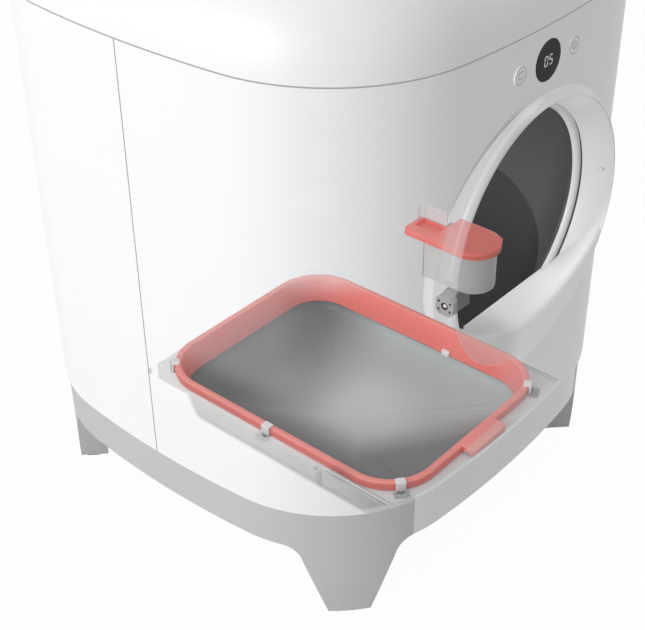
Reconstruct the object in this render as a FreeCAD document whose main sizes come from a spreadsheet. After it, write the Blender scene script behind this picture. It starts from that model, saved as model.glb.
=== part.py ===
"""Self-cleaning litter box, built as an assembly of separate pieces.

The frame: +Z up, the front with the round entrance faces -Y, the origin lies on the floor in the
middle of the casing.  The drum turns about a line along Y.  All sizes are in millimetres.
"""
import FreeCAD, Part
import math
import os
import re
from types import SimpleNamespace

V = FreeCAD.Vector

doc = FreeCAD.newDocument("litter_box")
sheet = doc.addObject("Spreadsheet::Sheet", "Dims")

# Dimensions: alias, value or a formula of the ones above it, what it is.
DIMENSIONS = [
    ("shell_width", 504, "casing, left to right"),
    ("shell_depth", 496, "casing, front to back"),
    ("side_arc", 1050, "bulge radius of the four casing sides"),
    ("corner_arc", 150, "radius of the casing corners"),
    ("shell_wall", 3, "casing wall"),
    ("skirt_low", 84, "height of the base skirt's lower edge"),
    ("shell_low", "=skirt_low + 47", "height of the casing's lower edge"),
    ("seam_gap", 0.6, "open width of every casing seam"),
    ("split_place", 4, "Y of the seam between front and rear casing"),
    ("seat_gap", 0.3, "clearance between neighbours"),
    ("skirt_inset", 3, "skirt set back from the casing"),
    ("skirt_wall", 3.5, "skirt wall"),
    ("web_thick", 3, "horizontal web of the base"),
    ("leg_sole_width", 42, "width of a leg at the floor"),
    ("leg_root_width", 118, "width of a leg where it leaves the skirt"),
    ("leg_depth", 30, "leg, from outside to inside"),
    ("pad_thick", 1.5, "rubber foot pad"),
    ("deck_thick", 4, "deck that carries the drum"),
    ("drum_radius", "=shell_width / 2 - 52", "outside of the drum"),
    ("axis_high", "=shell_low + drum_radius + 34", "height of the drum axis"),
    ("seam_high", "=axis_high + drum_radius - 3", "height of the seam under the top cover"),
    ("head_room", 81, "from the top of the drum to the top of the casing"),
    ("total_high", "=axis_high + drum_radius + head_room", "overall height"),
    ("drum_wall", 3, "drum wall"),
    ("drum_front", "=-shell_depth / 2 + 26", "Y of the drum's front edge"),
    ("drum_rear", "=shell_depth / 2 - 60", "Y of the drum's rear face"),
    ("front_shoulder", "=drum_front + 72", "Y where the front shoulder starts"),
    ("rear_shoulder", "=drum_rear - 30", "Y where the rear shoulder starts"),
    ("rear_flat_radius", "=drum_radius - 50", "radius of the drum's flat rear face"),
    ("mouth_radius", 106.5, "inside of the drum's rim"),
    ("rim_high", 5.5, "height of the rim's round edge"),
    ("port_width", 120, "waste port across the drum"),
    ("port_length", 150, "waste port along the drum"),
    ("screen_thick", 3, "litter screen"),
    ("screen_slots", 12, "slots in the litter screen"),
    ("slot_width", 7, "slot in the litter screen"),
    ("gear_module", 3, "module of the drum gear"),
    ("gear_teeth", "=round(2 * (drum_radius + 7) / gear_module)", "teeth on the drum gear"),
    ("pinion_teeth", 16, "teeth on the drive pinion"),
    ("gear_face", 12, "face width of the drum gear"),
    ("gear_place", "=drum_rear - 68", "Y of the drum gear's front face"),
    ("pinion_angle", 45, "degrees from straight down to the pinion"),
    ("roller_radius", 16, "support roller"),
    ("roller_face", 14, "roller width"),
    ("roller_angle", 35, "degrees from straight down to the rollers"),
    ("axle_radius", 4, "roller axle"),
    ("running_gap", 0.05, "radial clearance of a running fit"),
    ("cradle_thick", 6, "cradle plate"),
    ("hub_radius", 10, "rear hub shaft"),
    ("ring_radius", "=mouth_radius + 26.5", "outside of the entrance ring"),
    ("liner_radius", "=mouth_radius + 23.5", "outside of the entrance liner"),
    ("liner_wall", 3, "entrance liner wall"),
    ("ring_front", "=-shell_depth / 2 - 8", "Y of the entrance ring's front edge"),
    ("sill_high", "=axis_high - 84", "height of the sill's inner edge"),
    ("crest_high", "=sill_high - 10", "height of the sill's front crest"),
    ("crest_arc", 160, "radius of the sill's front crest"),
    ("panel_high", "=axis_high + 165", "height of the display and buttons"),
    ("display_radius", 18.6, "display disc"),
    ("button_radius", 8.4, "push button"),
    ("button_pitch", 41, "button centre from the middle"),
    ("button_travel", 1.2, "push button travel"),
    ("bag_ring_width", "=shell_width - 234", "bag ring, left to right"),
    ("bag_ring_length", "=shell_depth - 151", "bag ring, front to back"),
    ("bag_ring_front", "=-shell_depth / 2 + 41", "Y of the bag ring's front"),
    ("bag_ring_corner", 58, "bag ring corner radius"),
    ("flange_high", "=skirt_low + 13", "top of the drawer flange"),
    ("flange_thick", 3, "drawer flange"),
    ("bag_ring_top", "=flange_high + 10", "height of the bag ring"),
    ("flange_half", "=bag_ring_width / 2 + 5", "drawer flange, middle to edge"),
    ("flange_rear", "=shell_depth / 2 - 104", "Y of the drawer flange's rear edge"),
    ("front_half", "=flange_half + 3.2", "drawer front, middle to edge"),
    ("bin_depth", 54, "drawer bin below its flange"),
    ("bin_draft", 12, "how far the bin narrows"),
    ("bin_wall", 2.5, "drawer bin wall"),
    ("bag_wall", 1.2, "waste bag"),
    ("cap_width", 62.5, "bottle cap across"),
    ("cap_length", 112.5, "bottle cap along Y"),
    ("cap_thick", 7.5, "bottle cap"),
    ("cap_corner", 8, "radius of the bottle cap's rear corners"),
    ("bottle_x", "=shell_width / 2 - 69.25", "X of the bottle"),
    ("bottle_y", -40.75, "Y of the bottle cap's middle"),
    ("bottle_low", "=shell_low + 10", "height of the bottle's bottom"),
    ("bottle_high", "=bottle_low + 48.5", "height of the bottle's top"),
    ("bottle_inset", 5, "bottle narrower than its cap"),
    ("bottle_short", 28, "bottle's rear wall, in from the cap's rear edge"),
    ("bottle_wall", 2, "bottle wall"),
    ("grip_high", 18, "clear grip above the bottle cap"),
    ("jack_radius", 6, "outside of the power inlet"),
    ("jack_bore", 2.75, "radius of the power inlet's bore"),
    ("jack_high", "=shell_low - 23", "height of the power inlet"),
    ("rear_cover_radius", "=ring_radius - 2", "round rear cover"),
    ("lid_round", "=total_high - seam_high - 6", "rounding of the top cover"),
    ("lid_lip", 9, "locating lip under the top cover"),
    ("screw_radius", 1.9, "shank of the deck screws"),
]

for row, (alias, value, what) in enumerate(DIMENSIONS, start=1):
    sheet.set("A%d" % row, what)
    sheet.set("B%d" % row, str(value))
    sheet.setAlias("B%d" % row, alias)
doc.recompute()
D = SimpleNamespace(**{alias: float(sheet.get(alias)) for alias, _, _ in DIMENSIONS})
ALIASES = {alias for alias, _, _ in DIMENSIONS}

nodes = {}


def bound(text):
    """An expression in which every dimension's name reads the sheet."""
    def read(found):
        word = found.group(0)
        return "Dims." + word if word in ALIASES else word

    return re.sub(r"[a-z_]+", read, str(text))


def bind(thing, **sizes):
    """Bind an object's properties to expressions in the sheet's dimensions."""
    for name, text in sizes.items():
        thing.setExpression(name, bound(text))


def put(thing, x=0, y=0, z=0, turn=None):
    """Place an object, its three coordinates bound to the sheet."""
    if turn is not None:
        thing.Placement = FreeCAD.Placement(V(0, 0, 0), turn)
    for axis, text in (("x", x), ("y", y), ("z", z)):
        thing.setExpression("Placement.Base." + axis, bound(text))
    return thing


ALONG_Y = FreeCAD.Rotation(V(1, 0, 0), -90)
ALONG_X = FreeCAD.Rotation(V(0, 1, 0), 90)


def block(name, x, y, z, wide, deep, high):
    """A box from its lowest corner."""
    thing = doc.addObject("Part::Box", name)
    bind(thing, Length=wide, Width=deep, Height=high)
    return put(thing, x, y, z)


def rod(name, radius, length, x=0, y=0, z=0, turn=None):
    """A cylinder from the middle of its lower end, upright or turned along Y or X."""
    thing = doc.addObject("Part::Cylinder", name)
    bind(thing, Radius=radius, Height=length)
    return put(thing, x, y, z, turn)


def solid(name, shape):
    """A solid worked out from the sheet's sizes where no primitive fits."""
    thing = doc.addObject("Part::Feature", name)
    thing.Shape = shape
    return thing


def joined(name, *things):
    """Several objects made one."""
    thing = doc.addObject("Part::MultiFuse", name)
    thing.Shapes = list(things)
    thing.Refine = True
    return thing


def less(name, base, *tools):
    """An object with others taken out of it."""
    thing = doc.addObject("Part::Cut", name)
    thing.Base = base
    thing.Tool = tools[0] if len(tools) == 1 else joined(name + "_tools", *tools)
    return thing


def both(name, first, second):
    """What two objects have in common."""
    thing = doc.addObject("Part::Common", name)
    thing.Base = first
    thing.Tool = second
    return thing


def group(name, *things):
    """Several separate solids kept as one sub-part."""
    thing = doc.addObject("Part::Compound", name)
    thing.Links = list(things)
    return thing


def keep(label, thing):
    """Name an object as a finished sub-part."""
    thing.Label = label
    nodes[label] = thing
    return thing


# Outlines

def plan_corner():
    """The corner arc's centre, where both neighbouring side arcs are tangent to it."""
    centre_x = D.shell_width / 2 - D.side_arc
    centre_y = D.shell_depth / 2 - D.side_arc
    reach = D.side_arc - D.corner_arc
    apart = math.hypot(centre_x, centre_y)
    lift = math.sqrt(reach * reach - apart * apart / 4)
    return V(centre_x / 2 - centre_y / apart * lift, centre_y / 2 - centre_x / apart * lift, 0)


def corner_point(inset):
    """The middle of the rear right corner arc, drawn in by an inset."""
    along = (D.corner_arc - inset) * math.sqrt(0.5)
    return plan_corner() + V(along, along, 0)


def plan_arc(centre_x, centre_y, radius, angles, high, flip=1, tilt=1):
    """An arc through three angles about a centre, mirrored by flip in X and by tilt in Y."""
    points = [V(flip * (centre_x + radius * math.cos(a)), tilt * (centre_y + radius * math.sin(a)), high)
              for a in angles]
    return Part.Arc(*points).toShape()


def plan_wire(inset, high):
    """The casing's outline seen from above: four bulged sides joined by corner arcs, all tangent."""
    centre_x = D.shell_width / 2 - D.side_arc
    centre_y = D.shell_depth / 2 - D.side_arc
    corner = plan_corner()
    side = D.side_arc - inset
    round_radius = D.corner_arc - inset
    to_side = math.atan2(corner.y, corner.x - centre_x)
    to_end = math.atan2(corner.y - centre_y, corner.x)
    corner_angles = (to_side, (to_side + to_end) / 2, to_end)
    edges = [plan_arc(corner.x, corner.y, round_radius, corner_angles, high, flip, tilt)
             for flip, tilt in ((1, 1), (-1, 1), (-1, -1), (1, -1))]
    for flip in (1, -1):
        edges.append(plan_arc(centre_x, 0, side, (-to_side, 0, to_side), high, flip=flip))
        edges.append(plan_arc(0, centre_y, side, (to_end, math.pi / 2, math.pi - to_end), high, tilt=flip))
    return Part.Wire(Part.__sortEdges__(edges))


def plan_prism(name, inset, low, high):
    """An upright solid of the casing's outline, drawn in by an inset."""
    return solid(name, Part.Face(plan_wire(inset, low)).extrude(V(0, 0, high - low)))


def plan_band(name, outer, inner, low, high):
    """An upright wall that follows the casing's outline."""
    outside = Part.Face(plan_wire(outer, low)).extrude(V(0, 0, high - low))
    inside = Part.Face(plan_wire(inner, low)).extrude(V(0, 0, high - low))
    return solid(name, outside.cut(inside))


def round_rectangle(half_x, low_y, high_y, radius, high):
    """A rectangle with round corners, at one height."""
    slant = radius * (1 - math.sqrt(0.5))
    corners = [(half_x, high_y, 1, 1), (-half_x, high_y, -1, 1),
               (-half_x, low_y, -1, -1), (half_x, low_y, 1, -1)]
    arcs = []
    for x, y, sx, sy in corners:
        beside = V(x, y - sy * radius, high)
        above = V(x - sx * radius, y, high)
        middle = V(x - sx * slant, y - sy * slant, high)
        first, last = (beside, above) if sx * sy > 0 else (above, beside)
        arcs.append(Part.Arc(first, middle, last))
    edges = []
    for arc, following in zip(arcs, arcs[1:] + arcs[:1]):
        edges.append(arc.toShape())
        edges.append(Part.LineSegment(arc.EndPoint, following.StartPoint).toShape())
    return Part.Wire(edges)


def ring_outline(inward, high):
    """The bag ring's outer outline drawn inward, at one height."""
    return round_rectangle(D.bag_ring_width / 2 - inward, D.bag_ring_front + inward,
                           D.bag_ring_front + D.bag_ring_length - inward, D.bag_ring_corner - inward, high)


def tapered(lower, upper):
    """A solid between two outlines at two heights."""
    return Part.makeLoft([lower, upper], True, True)


def turned(name, profile):
    """A solid of revolution about the drum axis; the profile lists (radius, y) and arcs as 3 points."""
    edges = []
    for stretch in profile:
        points = [V(r, y, D.axis_high) for r, y in stretch]
        curve = Part.Arc(*points) if len(points) == 3 else Part.LineSegment(*points)
        edges.append(curve.toShape())
    face = Part.Face(Part.Wire(edges))
    return solid(name, face.revolve(V(0, 0, D.axis_high), V(0, 1, 0), 360))


def outline(points):
    """Straight stretches through points, closed, as a profile for a turned solid."""
    return [(first, second) for first, second in zip(points, points[1:] + points[:1])]


def gear_wire(teeth, high, phase):
    """An involute spur gear's outline about the origin, in the XZ plane at Y high."""
    pitch = D.gear_module * teeth / 2
    base = pitch * math.cos(math.radians(20))
    tip = pitch + 0.9 * D.gear_module
    root = pitch - 1.2 * D.gear_module
    backlash = 0.1 * D.gear_module
    half_tooth = (math.pi * D.gear_module / 2 - backlash) / 2 / pitch
    flare = math.tan(math.radians(20)) - math.radians(20)
    start = max(base, root)
    radii = [start + (tip - start) * share for share in (0, 0.35, 0.7, 1)]
    flank = []
    for r in radii:
        press = math.acos(min(1, base / r))
        flank.append((r, half_tooth + flare - (math.tan(press) - press)))
    rise = [(root, flank[0][1])] + flank if root < start else flank
    points = []
    for tooth in range(teeth):
        middle = phase + 2 * math.pi * tooth / teeth
        for r, off in rise:
            points.append((r, middle - off))
        for r, off in reversed(rise):
            points.append((r, middle + off))
    corners = [V(r * math.cos(a), high, r * math.sin(a)) for r, a in points]
    return Part.makePolygon(corners + corners[:1])


# Base: skirt, web, legs, pads

def leg_profile(shrink, low):
    """A leg seen from outside: narrow at the floor, flaring into the skirt, on a plane through Z."""
    bend_wide = 16
    bend_high = 17
    bend_middle = (5.2, 10.5)
    sole = D.leg_sole_width / 2 - shrink
    root = D.leg_root_width / 2 + 2 - shrink
    waist = root - bend_wide
    top = D.skirt_low + D.web_thick
    knee = D.skirt_low - bend_high
    points = []
    for side in (-1, 1):
        slope = Part.LineSegment(V(side * sole, 0, low), V(side * waist, 0, knee))
        halfway = V(side * (waist + bend_middle[0]), 0, knee + bend_middle[1])
        bend = Part.Arc(V(side * waist, 0, knee), halfway, V(side * root, 0, D.skirt_low))
        rise = Part.LineSegment(V(side * root, 0, D.skirt_low), V(side * root, 0, top))
        points += [slope.toShape(), bend.toShape(), rise.toShape()]
    points.append(Part.LineSegment(V(-sole, 0, low), V(sole, 0, low)).toShape())
    points.append(Part.LineSegment(V(-root, 0, top), V(root, 0, top)).toShape())
    return Part.Face(Part.Wire(Part.__sortEdges__(points)))


def leg_bars(name, shrink, low):
    """Four upright prisms of the leg's profile, one through each corner of the casing."""
    bars = []
    for angle in (45, 135, 225, 315):
        bar = leg_profile(shrink, low).extrude(V(0, D.shell_depth, 0))
        bar.rotate(V(0, 0, 0), V(0, 0, 1), angle - 90)
        bars.append(bar)
    return solid(name, Part.makeCompound(bars))


# Where the posts and screws under the deck stand: X and Y.
DECK_POSTS = [("-shell_width / 3", "-shell_depth / 2 + 118"), ("shell_width / 3", "-shell_depth / 2 + 118"),
              ("-shell_width / 2 + 52", "split_place + 26"), ("shell_width / 2 - 52", "split_place + 26"),
              ("-shell_width / 2 + 102", "shell_depth / 2 - 72"),
              ("shell_width / 2 - 102", "shell_depth / 2 - 72")]
CELL_LENGTH = 40
CELL_WIDTH = 12
CELL_HEIGHT = 9
CELL_INWARD = 8
PAD_DEPTH = 14


def make_base():
    outer = D.skirt_inset
    inner = outer + D.skirt_wall
    web_top = D.skirt_low + D.web_thick
    skirt = plan_band("skirt", outer, inner, D.skirt_low, D.shell_low)
    web = plan_prism("web", inner - 0.5, D.skirt_low, web_top)
    bay = block("bay", "-flange_half - 6", "-shell_depth", 0, "2 * flange_half + 12",
                "shell_depth + flange_rear + 6", "shell_low")
    gate = block("gate", "-front_half - seat_gap", "-shell_depth", "skirt_low - 1",
                 "2 * (front_half + seat_gap)", "shell_depth / 2 + 60", "shell_low")
    leg_skin = both("leg_skin", leg_bars("leg_bars", 0, D.pad_thick),
                    plan_band("leg_ring", outer, outer + D.leg_depth, 0, web_top))
    leg_hollow = both("leg_hollow", leg_bars("leg_cores", D.skirt_wall, D.pad_thick + D.skirt_wall),
                      plan_band("leg_core_ring", inner, outer + D.leg_depth + 1, 0, D.skirt_low))
    posts = [rod("deck_post_%d" % n, 6, "shell_low - deck_thick - skirt_low - web_thick + 1", x, y,
                 "skirt_low + web_thick - 1") for n, (x, y) in enumerate(DECK_POSTS)]
    pilots = [rod("post_pilot_%d" % n, "screw_radius + 0.05", 14, x, y, "shell_low - deck_thick - 13.5")
              for n, (x, y) in enumerate(DECK_POSTS)]
    jack_hole = rod("jack_hole", "jack_radius + seat_gap", 20, 0, "shell_depth / 2 - 16", "jack_high",
                    ALONG_Y)
    bin_way = block("bin_way", "-bag_ring_width / 2 + 2", "bag_ring_front - 10", "skirt_low - 4",
                    "bag_ring_width - 4", 30, 5)
    floor = less("web_plate", web, bay)
    whole = joined("base_whole", skirt, floor, leg_skin, *posts)
    base = less("base_cut", whole, leg_hollow, gate, bin_way, jack_hole, *pilots)
    rear_zone = block("rear_zone", "-flange_half", "flange_rear + 6", "skirt_low - 1", "2 * flange_half",
                      "shell_depth / 2", "shell_low")
    keep("base_rear", both("base_bridge", base, rear_zone))
    keep("base_pedestal", less("base_sides", base, rear_zone))

    pads = []
    cells = []
    sole = corner_point(D.skirt_inset + D.leg_depth / 2)
    for n, (sx, sy) in enumerate(((1, 1), (-1, 1), (-1, -1), (1, -1))):
        turn = FreeCAD.Rotation(V(0, 0, 1), -45 * sx * sy)
        pad = doc.addObject("Part::Box", "pad_%d" % n)
        bind(pad, Length="leg_sole_width - 8", Width=PAD_DEPTH, Height="pad_thick")
        half = turn.multVec(V((D.leg_sole_width - 8) / 2, PAD_DEPTH / 2, 0))
        pad.Placement = FreeCAD.Placement(V(sx * sole.x, sy * sole.y, 0) - half, turn)
        pads.append(pad)
        cell = doc.addObject("Part::Box", "cell_%d" % n)
        bind(cell, Length=CELL_LENGTH, Width=CELL_WIDTH, Height=CELL_HEIGHT)
        half = turn.multVec(V(CELL_LENGTH / 2, CELL_WIDTH / 2, 0))
        place = V(sx * (sole.x - CELL_INWARD), sy * (sole.y - CELL_INWARD), web_top)
        cell.Placement = FreeCAD.Placement(place - half, turn)
        cells.append(cell)
    keep("foot_pads", group("pads", *pads))
    keep("load_cells", group("cells", *cells))

    body = rod("jack_body", "jack_radius", 9.5, 0, "shell_depth / 2 - skirt_inset - 9", "jack_high", ALONG_Y)
    flange = rod("jack_flange", "jack_radius + 3", 2.5, 0, "shell_depth / 2 - skirt_inset - skirt_wall - 2.8",
                 "jack_high", ALONG_Y)
    bore = rod("jack_bore_cut", "jack_bore", 9, 0, "shell_depth / 2 - skirt_inset - 7.5", "jack_high",
               ALONG_Y)
    keep("power_inlet", less("jack", joined("jack_whole", body, flange), bore))


def make_deck():
    plate = plan_prism("deck_plate", D.skirt_inset + D.skirt_wall + 0.4, D.shell_low - D.deck_thick,
                       D.shell_low)
    drop = block("drop", "-bag_ring_width / 2 + 17", "bag_ring_front + 77", 0, "bag_ring_width - 34",
                 "bag_ring_length - 105", "shell_low + 1")
    notch = block("spray_notch", "bottle_x - 72.75", "bottle_y - 39.25", 0, 70, 40, "shell_low + 1")
    holes = [rod("deck_hole_%d" % n, "screw_radius", 20, x, y, "shell_low - 15")
             for n, (x, y) in enumerate(DECK_POSTS)]
    keep("chassis_deck", less("deck", plate, drop, notch, *holes))
    screws = []
    for n, (x, y) in enumerate(DECK_POSTS):
        shank = rod("shank_%d" % n, "screw_radius", 14, x, y, "shell_low - 14")
        head = rod("head_%d" % n, "2 * screw_radius", 2.5, x, y, "shell_low")
        screws.append(joined("screw_%d" % n, shank, head))
    keep("deck_screws", group("screws", *screws))
    sensor = block("level_body", "-bag_ring_width / 2 + 4", -12, "shell_low - deck_thick - 6", 16, 24, 6)
    eye = rod("level_eye", 3, 2, "-bag_ring_width / 2 + 12", 0, "shell_low - deck_thick - 8")
    keep("waste_level_sensor", joined("level_whole", sensor, eye))

    board_y = "shell_depth / 2 - 76"
    board = block("main_plate", -70, board_y, "shell_low + 6", 110, 48, 1.6)
    chips = ((-60, 8, 22, 22, 3), (-28, 6, 14, 18, 8), (-6, 18, 30, 12, 11), (-30, 30, 10, 10, 5),
             (28, 4, 8, 26, 9))
    parts = [block("main_chip_%d" % n, x, board_y + " + %d" % y, "shell_low + 7.6", wide, deep, thick)
             for n, (x, y, wide, deep, thick) in enumerate(chips)]
    feet = [rod("main_foot_%d" % n, 3, 6, x, board_y + " + %d" % y, "shell_low")
            for n, (x, y) in enumerate(((-65, 5), (35, 5), (-65, 43), (35, 43)))]
    keep("main_board", joined("main", board, *parts, *feet))


# Casing

LIP_ROUND = 6


def lip_arc(first, last):
    """Three points of the entrance ring's rounded front edge, between two radii."""
    points = []
    for r in (first, (first + last) / 2, last):
        across = r - (D.ring_radius - LIP_ROUND)
        points.append((r, D.ring_front + LIP_ROUND - math.sqrt(LIP_ROUND ** 2 - across ** 2)))
    return tuple(points)


def make_casing():
    low = D.shell_low
    high = D.seam_high
    wall = D.shell_wall
    whole = plan_band("casing_wall", 0, wall, low, high)
    foot = plan_band("casing_foot", wall - 0.5, wall + 5, low, low + 3)
    ring = joined("casing_ring", whole, foot)
    behind = block("behind_split", "-shell_width", "split_place - seam_gap / 2", 0, "2 * shell_width",
                   "shell_depth", "total_high")
    ahead = block("ahead_split", "-shell_width", "split_place + seam_gap / 2 - shell_depth", 0,
                  "2 * shell_width", "shell_depth", "total_high")

    bore = D.liner_radius + D.seat_gap
    front = D.ring_front
    outer = D.ring_radius
    # The trumpet's section: its lip, its outer flank that sweeps into the casing, and its back.
    tail = [(outer + 32, front + 32), (outer + 30, front + 35), (outer + 13, front + 27),
            (outer + 4.5, front + 19), (outer + 0.3, front + 13), (outer + 0.3, front + 22),
            (bore, front + 22)]
    lip = lip_arc(bore, outer)
    flank = (lip[-1], (outer + 7, front + 15.5), tail[0])
    profile = [lip, flank] + [(a, b) for a, b in zip(tail, tail[1:])] + [(tail[-1], lip[0])]
    trumpet = less("trumpet", turned("trumpet_whole", profile),
                   plan_prism("trumpet_trim", wall + 3, 0, D.total_high))
    doorway = rod("doorway", "liner_radius + seat_gap", 80, 0, "ring_front - 10", "axis_high", ALONG_Y)
    window = rod("display_window", "display_radius + seat_gap", 30, 0, "-shell_depth / 2 - 10", "panel_high",
                 ALONG_Y)
    key_holes = [rod("key_hole_%d" % n, "button_radius + seat_gap", 30, "%d * button_pitch" % side,
                     "-shell_depth / 2 - 10", "panel_high", ALONG_Y) for n, side in enumerate((-1, 1))]
    bosses = [rod("board_boss_%d" % n, 4, 8, side * 60, "-shell_depth / 2 + 2", "panel_high", ALONG_Y)
              for n, side in enumerate((-1, 1))]
    front_part = less("front_wall", ring, behind, doorway)
    front_part = joined("front_whole", front_part, trumpet, *bosses)
    keep("front_shell", less("front_cut", front_part, window, *key_holes))

    lap = joined("lap", plan_band("lap_inner", wall + 0.2, wall + 2.2, low + 4, high - 12),
                 plan_band("lap_outer", wall - 0.5, wall + 1, low + 4, high - 12))
    lap_zone = block("lap_zone", "-shell_width", "split_place - 10", 0, "2 * shell_width", 22, "total_high")
    lap_free = plan_band("lap_free", wall - 1, wall + 0.2, 0, D.total_high)
    lap_front = block("lap_front", "-shell_width", "split_place - 20", 0, "2 * shell_width",
                      "20 + seam_gap / 2", "total_high")
    lap_part = less("lap_part", both("lap_strip", lap, lap_zone), both("lap_gap", lap_free, lap_front))
    hatch = rod("hatch", "rear_cover_radius + seat_gap", 80, 0, "shell_depth / 2 - 60", "axis_high", ALONG_Y)
    keep("rear_shell", joined("rear_whole", less("rear_wall", ring, ahead, hatch), lap_part))

    lid_low = D.seam_high + D.seam_gap
    cover = []
    for inset, round_radius in ((0, D.lid_round), (wall, D.lid_round - wall)):
        tall = Part.Face(plan_wire(inset, lid_low)).extrude(V(0, 0, D.total_high - inset - lid_low))
        rim = [edge for edge in tall.Edges if edge.BoundBox.ZMin > D.total_high - inset - 0.1]
        cover.append(tall.makeFillet(round_radius, rim))
    dome = less("dome", solid("dome_outside", cover[0]), solid("dome_inside", cover[1]))
    collar = plan_band("lid_collar", wall - 0.5, wall + 3, lid_low, lid_low + 4)
    lip_band = plan_band("lid_lip_band", wall + 0.4, wall + 3, high - D.lid_lip, lid_low + 1)
    keep("top_cover", joined("lid", dome, collar, lip_band))


def make_rear_cover():
    outer = D.rear_cover_radius
    back = -D.ring_front
    rim = [(outer - 3, back - 50), (outer, back - 50), (outer, back - 6)]
    bend = ((outer, back - 6), (outer - 1.8, back - 1.8), (outer - 6, back))
    disc = [(outer - 6, back), (0, back), (0, back - 3), (outer - 6, back - 3)]
    inner_bend = ((outer - 6, back - 3), (outer - 3.9, back - 3.9), (outer - 3, back - 6))
    profile = [(a, b) for a, b in zip(rim, rim[1:])] + [bend] + [(a, b) for a, b in zip(disc, disc[1:])]
    profile += [inner_bend, ((outer - 3, back - 6), rim[0])]
    shell = turned("rear_cover_shell", profile)
    slots = []
    vents = 7
    pitch = 12
    for n in range(vents):
        off = n - vents // 2
        half = 45 - 4 * abs(off)
        slots.append(block("vent_%d" % n, -half, "-ring_front - 10", "axis_high - 3 + %d" % (pitch * off),
                           2 * half, 20, 5))
    keep("rear_cover", less("rear_cover_cut", shell, *slots))

    plate_y = "-ring_front - 50"
    disc = rod("bearing_disc", "rear_cover_radius - 3", 5, 0, plate_y, "axis_high", ALONG_Y)
    seat = rod("bearing_seat", "2 * hub_radius", 20, 0, "-ring_front - 55", "axis_high", ALONG_Y)
    out = 75
    windows = []
    for n in range(6):
        turn = math.radians(60 * n)
        windows.append(rod("disc_window_%d" % n, 26, 20, out * math.cos(turn), "-ring_front - 55",
                           "axis_high + %.4f" % (out * math.sin(turn)), ALONG_Y))
    keep("bearing_plate", less("bearing_plate_cut", disc, seat, *windows))
    race = rod("race", "2 * hub_radius", 9, 0, "-ring_front - 52", "axis_high", ALONG_Y)
    race_bore = rod("race_bore", "hub_radius + running_gap", 20, 0, "-ring_front - 60", "axis_high", ALONG_Y)
    keep("rear_bearing", less("rear_bearing_cut", race, race_bore))


def make_panel():
    face = "-shell_depth / 2"
    keep("display_disc", rod("disc", "display_radius", 3.4, 0, face + " - 0.2", "panel_high", ALONG_Y))
    board = block("board", -64, face + " + 10", "panel_high - 16", 128, 1.6, 32)
    seat = rod("module_seat", "display_radius - 3", 6.8, 0, face + " + 3.2", "panel_high", ALONG_Y)
    keep("display_board", joined("display_electronics", board, seat))
    switches = []
    for n, side in enumerate((-1, 1)):
        x = "%d * button_pitch" % side
        cap = rod("key_cap_%d" % n, "button_radius", 6.6, x, face + " + 0.2", "panel_high", ALONG_Y)
        flange = rod("key_flange_%d" % n, "button_radius + 2", 1.6, x, face + " + shell_wall + 1.7",
                     "panel_high", ALONG_Y)
        keep(("left_button", "right_button")[n], joined("key_%d" % n, cap, flange))
        switches.append(rod("switch_%d" % n, 3, 1.6, x, face + " + 8.4", "panel_high", ALONG_Y))
    keep("button_switches", group("switches", *switches))


# Entrance

def make_entrance():
    front = D.ring_front
    outer = D.liner_radius
    wall = D.liner_wall
    throat = D.mouth_radius + 7
    rear = D.drum_front - D.rim_high - 1.7
    lip = tuple(reversed(lip_arc(D.ring_radius - LIP_ROUND, outer)))
    flare = (lip[-1], (outer - 10.5, front + 11.5), (throat, rear))
    back = [(throat, rear), (throat + wall, rear), (outer - wall, front + 9), (outer - wall, front + 20),
            (outer, front + 20), lip[0]]
    shell = turned("liner_shell", [lip, flare] + [(a, b) for a, b in zip(back, back[1:])])

    sill_front = front
    seat = D.ring_radius - LIP_ROUND
    crest_centre = D.crest_high + D.crest_arc
    meet_z = crest_centre ** 2 - D.axis_high ** 2 - D.crest_arc ** 2 + seat ** 2
    meet_z /= 2 * (crest_centre - D.axis_high)
    meet_x = math.sqrt(seat ** 2 - (meet_z - D.axis_high) ** 2)
    crest_round = 7
    nose = D.drum_front
    drop = D.axis_high - D.sill_high
    half = math.sqrt(throat ** 2 - drop ** 2)
    wires = []
    for y, x, z, top_z, bottom_z in ((sill_front, meet_x, meet_z, D.crest_high, D.axis_high - seat),
                                     (nose, half, D.sill_high, D.sill_high, D.axis_high - throat)):
        left = V(-x, y, z)
        right = V(x, y, z)
        if abs(top_z - z) < 0.01:
            upper = Part.LineSegment(left, right).toShape()
        else:
            upper = Part.Arc(left, V(0, y, top_z), right).toShape()
        lower = Part.Arc(right, V(0, y, bottom_z), left).toShape()
        wires.append(Part.Wire([upper, lower]))
    sill = Part.makeLoft(wires, True, True)
    crest = [edge for edge in sill.Edges
             if edge.BoundBox.YMax < front + 0.1 and edge.BoundBox.ZMin > D.crest_high - 1]
    sill = solid("sill_loft", sill.makeFillet(crest_round, crest))
    clear = D.mouth_radius - 0.6
    room = turned("rim_room", outline([(clear, rear), (outer + 5, rear), (outer + 5, nose + 5),
                                       (clear, nose + 5)]))
    eye = rod("eye_hole", 3, 12, "liner_radius - 14", "ring_front + 10", "axis_high + 12", ALONG_X)
    keep("entrance_liner", less("liner", joined("liner_whole", shell, less("sill", sill, room)), eye))
    keep("entry_sensor", rod("sensor_eye", 2.9, 9, "liner_radius - 11.5", "ring_front + 10", "axis_high + 12",
                             ALONG_X))


# Drum

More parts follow.
